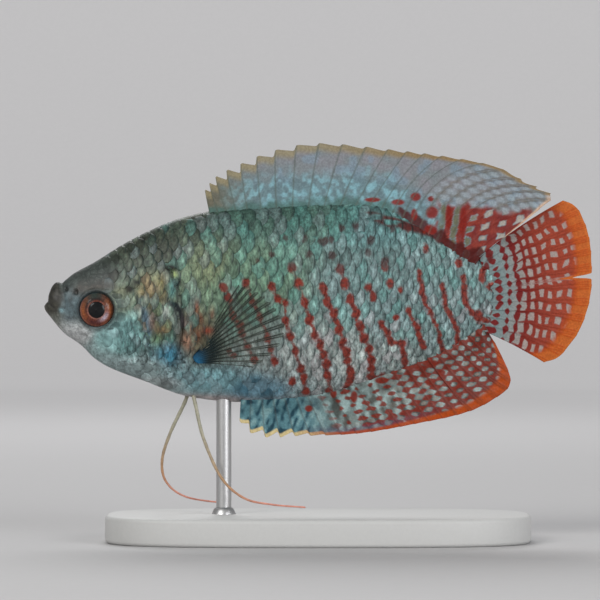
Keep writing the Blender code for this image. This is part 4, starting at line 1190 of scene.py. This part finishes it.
def build_caudal():
    def root(n):
        share = n / (CAUDAL_RAYS - 1)
        bow = CAUDAL_ROOT_BOW * (1 - (2 * share - 1) ** 2)
        return np.stack([CAUDAL_ROOT_X + bow, mixed(CAUDAL_TOP, CAUDAL_BOTTOM, share)], axis=-1)

    def bend(n):
        return mixed(0.05, 0.04, n / (CAUDAL_RAYS - 1))

    rays = Rays(CAUDAL_RAYS, root, pairs(CAUDAL_TIPS), bend, lambda n: 0.05 + 0 * n, columns=20, rows=120)
    web = Web(rays, np.ones_like(rays.number), width=0.15, dip=0.003, slit_after=5, slit=2.9)
    x, h, out, to_edge, w = web.x, web.h, web.out, web.to_edge, rays.w
    half = web.half(0.6, 0.5) + 0.85 * (1 - ease((out - 1.2) / 3.6))

    wave = 0.5 * (mottle(x, h, 2.4, 2.2, 51) - 0.5) + 0.2 * (mottle(x, h, 0.9, 0.9, 52) - 0.5)
    arc = np.cos(math.tau * (out / mixed(1.75, 1.45, ease((out - 3) / 8)) + wave))
    ray_line = np.cos(math.tau * (w + 0.1 * np.sin(out * 1.7 + rays.number)))
    outward = ease((out - 2.0) / 9.0)
    loose = mottle(x, h, 1.2, 1.3, 53) - 0.5
    shifted = np.cos(math.tau * (w + 0.5 * np.floor(out / 1.75 + wave + 0.5) + 0.6 * loose))
    held_back = mixed(0.32, -0.2, ease((out - 3.0) / 6.0))
    banded = arc + (1 - outward) * (0.65 * shifted + 1.1 * loose) - held_back
    lined = ray_line - mixed(1.25, -0.15, outward) + 0.5 * loose
    red_share = ease((np.maximum(banded, lined) + 0.14) / 0.36)
    red_share = np.maximum(red_share, ease((3.1 - to_edge) / 1.2))
    pale_hue = mixed(rgb(110, 126, 126), rgb(148, 134, 128), ease((out - 2) / 6)[..., None])
    red_hue = mixed(rgb(102, 26, 26), rgb(140, 58, 40), ease((out - 4) / 8)[..., None])
    colour = painted(pale_hue, [
        (red_share, painted(red_hue, [(ease((3.4 - to_edge) / 1.6), (164, 66, 16))])),
        *web.dots(CAUDAL_DOTS, (92, 24, 22)),
        (0.4 * ease((0.5 - to_edge) / 0.4), (190, 110, 44)),
        (0.4 * (1 - web.ridge) * ease((2.6 - to_edge) / 1.0), (186, 110, 50)),
        (0.25 * web.ridge * ease((out - 5) / 3) * ease((to_edge - 1.5) / 1.5), (110, 44, 26)),
    ])
    build_fin("caudal_fin_web", web, half, web.sway(CAUDAL_SWAY, 64, 80), upright, colour,
              fin_material("caudal_web"), "fins", "caudal_fin")


def build_pectoral(name, side, node, material):
    """A pectoral fin, fanned in its own plane, which swings out from the flank by the splay angle."""
    def root(n):
        share = 2 * n / (PECTORAL_RAYS - 1) - 1
        return np.stack([-1.0 + 0.7 * share ** 2, -0.85 * share], axis=-1)

    def tip(n):
        angle, length = np.radians(curve(PECTORAL_SPREAD, n)), curve(PECTORAL_LENGTHS, n) + 1.0
        return root(n) + np.stack([np.cos(angle), np.sin(angle)], axis=-1) * length[:, None]

    rays = Rays(PECTORAL_RAYS, root, tip, lambda n: 0.03 + 0 * n, lambda n: 0.1 + 0 * n, columns=12, rows=60)
    web = Web(rays, 0.9, width=0.12, dip=0.03)
    t, ridge = web.t, web.ridge
    lobe = 1 - ease(t * 5.5)
    half = 0.04 + 0.12 * ridge * (1 - 0.5 * t) + 0.55 * lobe
    hinge = np.array([PECTORAL_ROOT[0], side * side_y(*PECTORAL_ROOT), PECTORAL_ROOT[1]])
    turn = math.radians(side * PECTORAL_SPLAY)

    def put(flat, shift):
        x = flat[..., 0] * math.cos(turn) - shift * math.sin(turn) + hinge[0]
        y = flat[..., 0] * math.sin(turn) + shift * math.cos(turn) + hinge[1]
        return place(x, y, flat[..., 1] + hinge[2])

    near_root = 0.8 * (1 - ease(t / 0.42))
    solid = np.clip(0.06 + 0.9 * ridge ** 0.8 * (1 - 0.35 * t) + lobe * 1.2 + near_root, 0, 1)
    lobe_hue = mixed(rgb(14, 22, 26), rgb(34, 88, 120), ease(rays.number / 11)[:, None])
    colour = painted(mixed(rgb(30, 42, 44), rgb(96, 104, 92), ease(t / 0.4)[..., None]), [
        (ridge, (12, 20, 20)),
        (lobe * 1.1, lobe_hue),
        (hump(t - 0.2, 0.1) * 0.8, (20, 32, 36)),
    ])
    build_fin(name, web, half, side * 0.5 * t * t, put, colour, material, "clear_fins", node, solid)


# Pelvic threads, as (x, outward y, h)
LEFT_THREAD = [(21.7, 0.7, -12.9), (22.1, 0.9, -14.6), (23.3, 1.6, -19.5), (25.9, 2.9, -25.1),
               (29.2, 4.0, -28.0), (33.2, 4.6, -28.9), (38.0, 4.7, -29.3)]
RIGHT_THREAD = [(21.0, 0.7, -12.6), (20.4, 0.9, -14.4), (18.3, 1.7, -18.8), (17.1, 2.6, -22.8),
                (17.7, 3.4, -26.0), (20.6, 4.0, -28.2), (26.5, 4.4, -29.2)]
THREAD_ROOT_RADIUS, THREAD_TIP_RADIUS = 0.3, 0.12


def tube(name, spine, radius, paint, sides=16):
    """A closed tube along a spine of points in the fish's own millimetres, with a radius at each."""
    along = unit(np.gradient(spine, axis=0))
    across = np.cross(along, np.array([0.0, 0.0, 1.0]))
    across[np.linalg.norm(across, axis=1) < 0.15] = np.array([0.0, 1.0, 0.0])
    across = unit(across)
    up = np.cross(across, along)
    angle = np.linspace(0, math.tau, sides, endpoint=False)[:, None]
    ring = across[:, None] * np.cos(angle) + up[:, None] * np.sin(angle)
    points = spine[:, None] + ring * radius[:, None, None]
    tips = np.stack([spine[0] - along[0] * radius[0] * 0.5, spine[-1] + along[-1] * radius[-1] * 1.5])
    cloud = np.concatenate([points.reshape(-1, 3), tips])
    colour = np.concatenate([np.repeat(paint, sides, axis=0), paint[:1], paint[-1:]])
    return make_mesh(name, place(*cloud.T), ring_faces(len(spine), sides), {"paint": colour})


def build_thread(name, side, points, node, material):
    rows = [(k, *point) for k, point in enumerate(points)]
    share = np.linspace(0, 1, 150)
    at = share * (len(rows) - 1)
    spine = np.stack([curve(rows, at), side * curve(rows, at, 2), curve(rows, at, 3)], axis=-1)
    radius = mixed(THREAD_ROOT_RADIUS, THREAD_TIP_RADIUS, ease(share * 0.85 + 0.08))
    radius = radius * (1 + 0.05 * np.sin(share * 90))
    olive, tan, pink = rgb(148, 145, 126), (164, 126, 90), (198, 130, 112)
    paint = painted(olive, [(ease((share - 0.25) / 0.35), tan), (ease((share - 0.5) / 0.35), pink)])
    return dress(tube(name, spine, radius, paint), "threads", material, node)


# Eyes

def toward(turn, angle, reach):
    """1 on the eye's rim at an angle, falling to 0 past the reach on both sides of it."""
    return hump(np.arctan2(np.sin(turn - angle), np.cos(turn - angle)), reach)


def build_eye(name, side, node, material):
    """A domed eye: black pupil, ring of orange and red with a dark top, and a thin dark rim."""
    polar = np.linspace(0, math.pi, 2 * EYE_RINGS + 1)[1:-1]
    angle = np.linspace(0, math.tau, EYE_SPOKES, endpoint=False)
    away, turn = np.meshgrid(polar, angle, indexing="ij")
    share, front = np.sin(away), np.cos(away)
    lens = 0.04 * hump(share, PUPIL_SHARE * 0.8)
    groove = -0.07 * hump(share - PUPIL_SHARE, 0.035)
    bead = 0.05 * hump(share - 0.54, 0.04)
    depth = EYE_HALF_DEPTH * front + (lens + groove + bead) * (front > 0)
    x = EYE_BACK + EYE_RADIUS * share * np.cos(turn)
    h = EYE_LEVEL + EYE_RADIUS * share * np.sin(turn)
    middle = float(side_y(EYE_BACK, EYE_LEVEL)) + EYE_BULGE - EYE_HALF_DEPTH
    points = place(x, side * (middle + depth), h).reshape(-1, 3)
    poles = place(EYE_BACK, side * (middle + np.array([EYE_HALF_DEPTH + 0.1, -EYE_HALF_DEPTH])), EYE_LEVEL)

    rng = np.random.default_rng(SEED + 7)
    fibres = np.interp(turn, np.linspace(0, math.tau, 61), np.append(rng.random(60), 0.5))
    top, under = toward(turn, 1.7, 0.95), toward(turn, -1.9, 0.6)
    colour = painted(mixed(rgb(122, 64, 42), rgb(84, 38, 30), fibres[..., None]), [
        (0.75 * np.cos(turn) ** 2 * hump(share - 0.76, 0.13), (146, 84, 44)),
        (0.95 * top * ease((share - 0.5) / 0.12), (42, 56, 52)),
        (0.8 * under * hump(share - 0.72, 0.14), (64, 28, 32)),
        (0.85 * hump(share - 0.6, 0.09) * np.maximum(top, toward(turn, 2.5, 0.9)), (36, 24, 24)),
        # A painted glint of reflected light at the lower right of the iris
        (0.85 * toward(turn, -0.75, 0.45) * hump(share - 0.62, 0.11), (184, 172, 186)),
        (0.35 * hump(share - 0.5, 0.03) * (1 - top), (150, 122, 112)),
        (0.5 * hump(share - 0.9, 0.04) * (1 - top) * (1 - 0.6 * under), (150, 104, 88)),
        (ease((share - 0.92) / 0.04), (36, 50, 54)),
        (ease((PUPIL_SHARE + 0.012 - share) / 0.02), (6, 7, 9)),
    ])
    colour[front <= 0] = rgb(60, 60, 60)
    faces = ring_faces(*away.shape)
    if side < 0:
        faces = [face[::-1] for face in faces]
    paint = np.concatenate([colour.reshape(-1, 3), [rgb(9, 10, 13), rgb(60, 60, 60)]])
    eye = make_mesh(name, np.concatenate([points, poles]), faces, {"paint": paint})
    return dress(eye, "eyes", material, node)


# Display stand

BASE_HALF_LENGTH, BASE_HALF_WIDTH, BASE_HEIGHT = 31.0, 17.0, 4.0
BASE_CORNER_POWER, BASE_ROUND = 3.2, 0.6
BASE_SIDES = 192
ROD_X, ROD_RADIUS = 26.2, 1.1
ROD_SOCKET, ROD_FOOT = 2.0, 2.0


def rounded_slab(name):
    """The base: an oblong with round corners and softly rounded edges."""
    quarter = np.linspace(0, math.pi / 2, 7)
    out, along = BASE_ROUND * (1 - np.sin(quarter)), BASE_ROUND * (1 - np.cos(quarter))
    inset = np.concatenate([out, along])[:, None]
    height = np.concatenate([along, BASE_HEIGHT - out])[:, None]
    angle = np.linspace(0, math.tau, BASE_SIDES, endpoint=False)
    x = (BASE_HALF_LENGTH - inset) * signed_power(np.cos(angle), 2 / BASE_CORNER_POWER)
    y = (BASE_HALF_WIDTH - inset) * signed_power(np.sin(angle), 2 / BASE_CORNER_POWER)
    points = np.stack(np.broadcast_arrays(x, y, height), axis=-1).reshape(-1, 3)
    last = len(points) - BASE_SIDES
    ends = [list(range(BASE_SIDES))[::-1], list(range(last, len(points)))]
    slab = make_mesh(name, points, ring_quads(len(inset), BASE_SIDES) + ends, {})
    slab.data.set_sharp_from_angle(angle=math.radians(40))
    return slab


def post(name, h, radius):
    """A round upright piece on the rod's line, out of levels and the radius at each."""
    spine = np.stack(np.broadcast_arrays(ROD_X, 0.0, h), axis=-1)
    return tube(name, spine, radius, np.ones((len(h), 3)), sides=48)


def build_stand():
    acrylic = plain_material("base_acrylic", rgb(186, 186, 184), 0.55, grain=0.5, depth=0.004, contrast=0.015)
    dress(rounded_slab("stand_base_plate"), "stand_base", acrylic, "stand_base")
    steel = plain_material("rod_steel", rgb(190, 190, 190), 0.42, grain=0.2, depth=0.006, contrast=0.05,
                           metallic=1.0)
    top = float(section(np.array(ROD_X))[2]) + ROD_SOCKET
    rod = post("stand_rod_steel", np.linspace(ROD_FOOT - MOUTH_LEVEL, top, 24), np.full(24, ROD_RADIUS))
    dress(rod, "stand_rod", steel, "stand_rod")
    rim = np.linspace(0, 1, 12)
    wide = ROD_RADIUS + 0.75 * np.sqrt(np.clip(1 - rim ** 3, 0, 1)) * (1 - rim * 0.45)
    collar = post("stand_collar", BASE_HEIGHT - MOUTH_LEVEL - 0.3 + rim * 1.3, wide)
    dress(collar, "stand_rod", steel)


# Stage, light and camera

CAMERA_DISTANCE = 600.0
PHOTO_WIDTH = 87.6
VIEW_X, VIEW_Z = -2.63, 35.23
SENSOR = 36.0
FLOOR_RADIUS, FLOOR_BEND, WALL_HEIGHT = 1200.0, 250.0, 420.0
FLOOR_GLOW = 0.29
LAMP_SIZE, LAMP_AIM = 400.0, (0, 0, 34)


def build_stage():
    """A pale round floor that curves up into a wall all round, far enough out to be behind every camera."""
    rings = (0.5, 60, 120, 180, 240, 320, 400, 500, 620, 760, 900, 1050, FLOOR_RADIUS)
    profile = [(radius, 0.0) for radius in rings]
    bend = np.linspace(0, math.pi / 2, 13)[1:]
    profile += [(FLOOR_RADIUS + FLOOR_BEND * math.sin(a), FLOOR_BEND * (1 - math.cos(a))) for a in bend]
    profile.append((FLOOR_RADIUS + FLOOR_BEND, WALL_HEIGHT))
    radius, height = np.array(profile).T
    turn = np.linspace(0, math.tau, 145)
    wide = radius[:, None]
    x, y, z = np.broadcast_arrays(wide * np.cos(turn), wide * np.sin(turn), height[:, None])
    points = np.stack([x, y, z], axis=-1).reshape(-1, 3)
    fields = {"paint": np.broadcast_to(rgb(186, 185, 185), (len(points), 3)),
              "glow": np.repeat(FLOOR_GLOW * ease((radius - 250) / 800), len(turn))}
    floor = make_mesh("floor", points, grid_faces(len(radius), len(turn), flip=True), fields)
    matte = Paint("floor_paper", roughness=0.8)
    matte.feed(matte.shader, {"Emission Color": (1.0, 0.99, 1.0, 1.0),
                              "Emission Strength": matte.field("glow")})
    floor.data.materials.append(matte.finish(matte.vary(matte.field("paint", "Color"), 2.0, 0.99, 1.01)))


def lamp(name, spot, power, tint):
    light = bpy.data.lights.new(name, "AREA")
    light.shape = "DISK"
    light.size = LAMP_SIZE * MM
    light.energy = power
    light.color = tint
    obj = new_object(name, light)
    obj.location = Vector(spot) * MM
    obj.rotation_euler = (Vector(LAMP_AIM) - Vector(spot)).to_track_quat("-Z", "Y").to_euler()


def build_lights():
    lamp("key", (-400, -560, 430), 3.25, (1.0, 0.99, 0.97))
    lamp("fill", (480, -520, 230), 2.95, (0.97, 0.98, 1.0))
    lamp("far_side", (-60, 520, 500), 2.2, (0.99, 0.99, 1.0))
    world = bpy.data.worlds.new("soft_room")
    world.use_nodes = True
    background = world.node_tree.nodes["Background"]
    background.inputs["Color"].default_value = (0.8, 0.81, 0.83, 1)
    background.inputs["Strength"].default_value = 0.3
    bpy.context.scene.world = world
    bpy.context.scene.view_settings.view_transform = "Standard"


def build_camera():
    data = bpy.data.cameras.new("camera")
    data.sensor_width = SENSOR
    data.lens = SENSOR * CAMERA_DISTANCE / PHOTO_WIDTH
    camera = new_object("camera", data)
    camera.location = Vector((VIEW_X, -CAMERA_DISTANCE, VIEW_Z)) * MM
    camera.rotation_euler = (math.pi / 2, 0, 0)
    data.clip_start, data.clip_end = 0.01, 10
    bpy.context.scene.camera = camera


def main():
    for obj in list(bpy.data.objects):
        if obj.name in ("Cube", "Light", "Camera"):
            bpy.data.objects.remove(obj)
    build_camera()
    build_skin()
    scales = scale_material()
    dress(build_scales("scales_left", -1), "skin", scales)
    dress(build_scales("scales_right", 1), "skin", scales)
    build_dorsal()
    build_anal()
    build_caudal()
    clear, thread, dome = fin_material("pectoral_web", 0.4, True), thread_material(), eye_material()
    for side, word in ((-1, "left"), (1, "right")):
        build_pectoral("pectoral_web_" + word, side, "pectoral_fin_" + word, clear)
        build_eye("eye_dome_" + word, side, "eye_" + word, dome)
    build_thread("pelvic_thread_left", -1, LEFT_THREAD, "pelvic_fin_left", thread)
    build_thread("pelvic_thread_right", 1, RIGHT_THREAD, "pelvic_fin_right", thread)
    build_stand()
    build_stage()
    build_lights()


main()
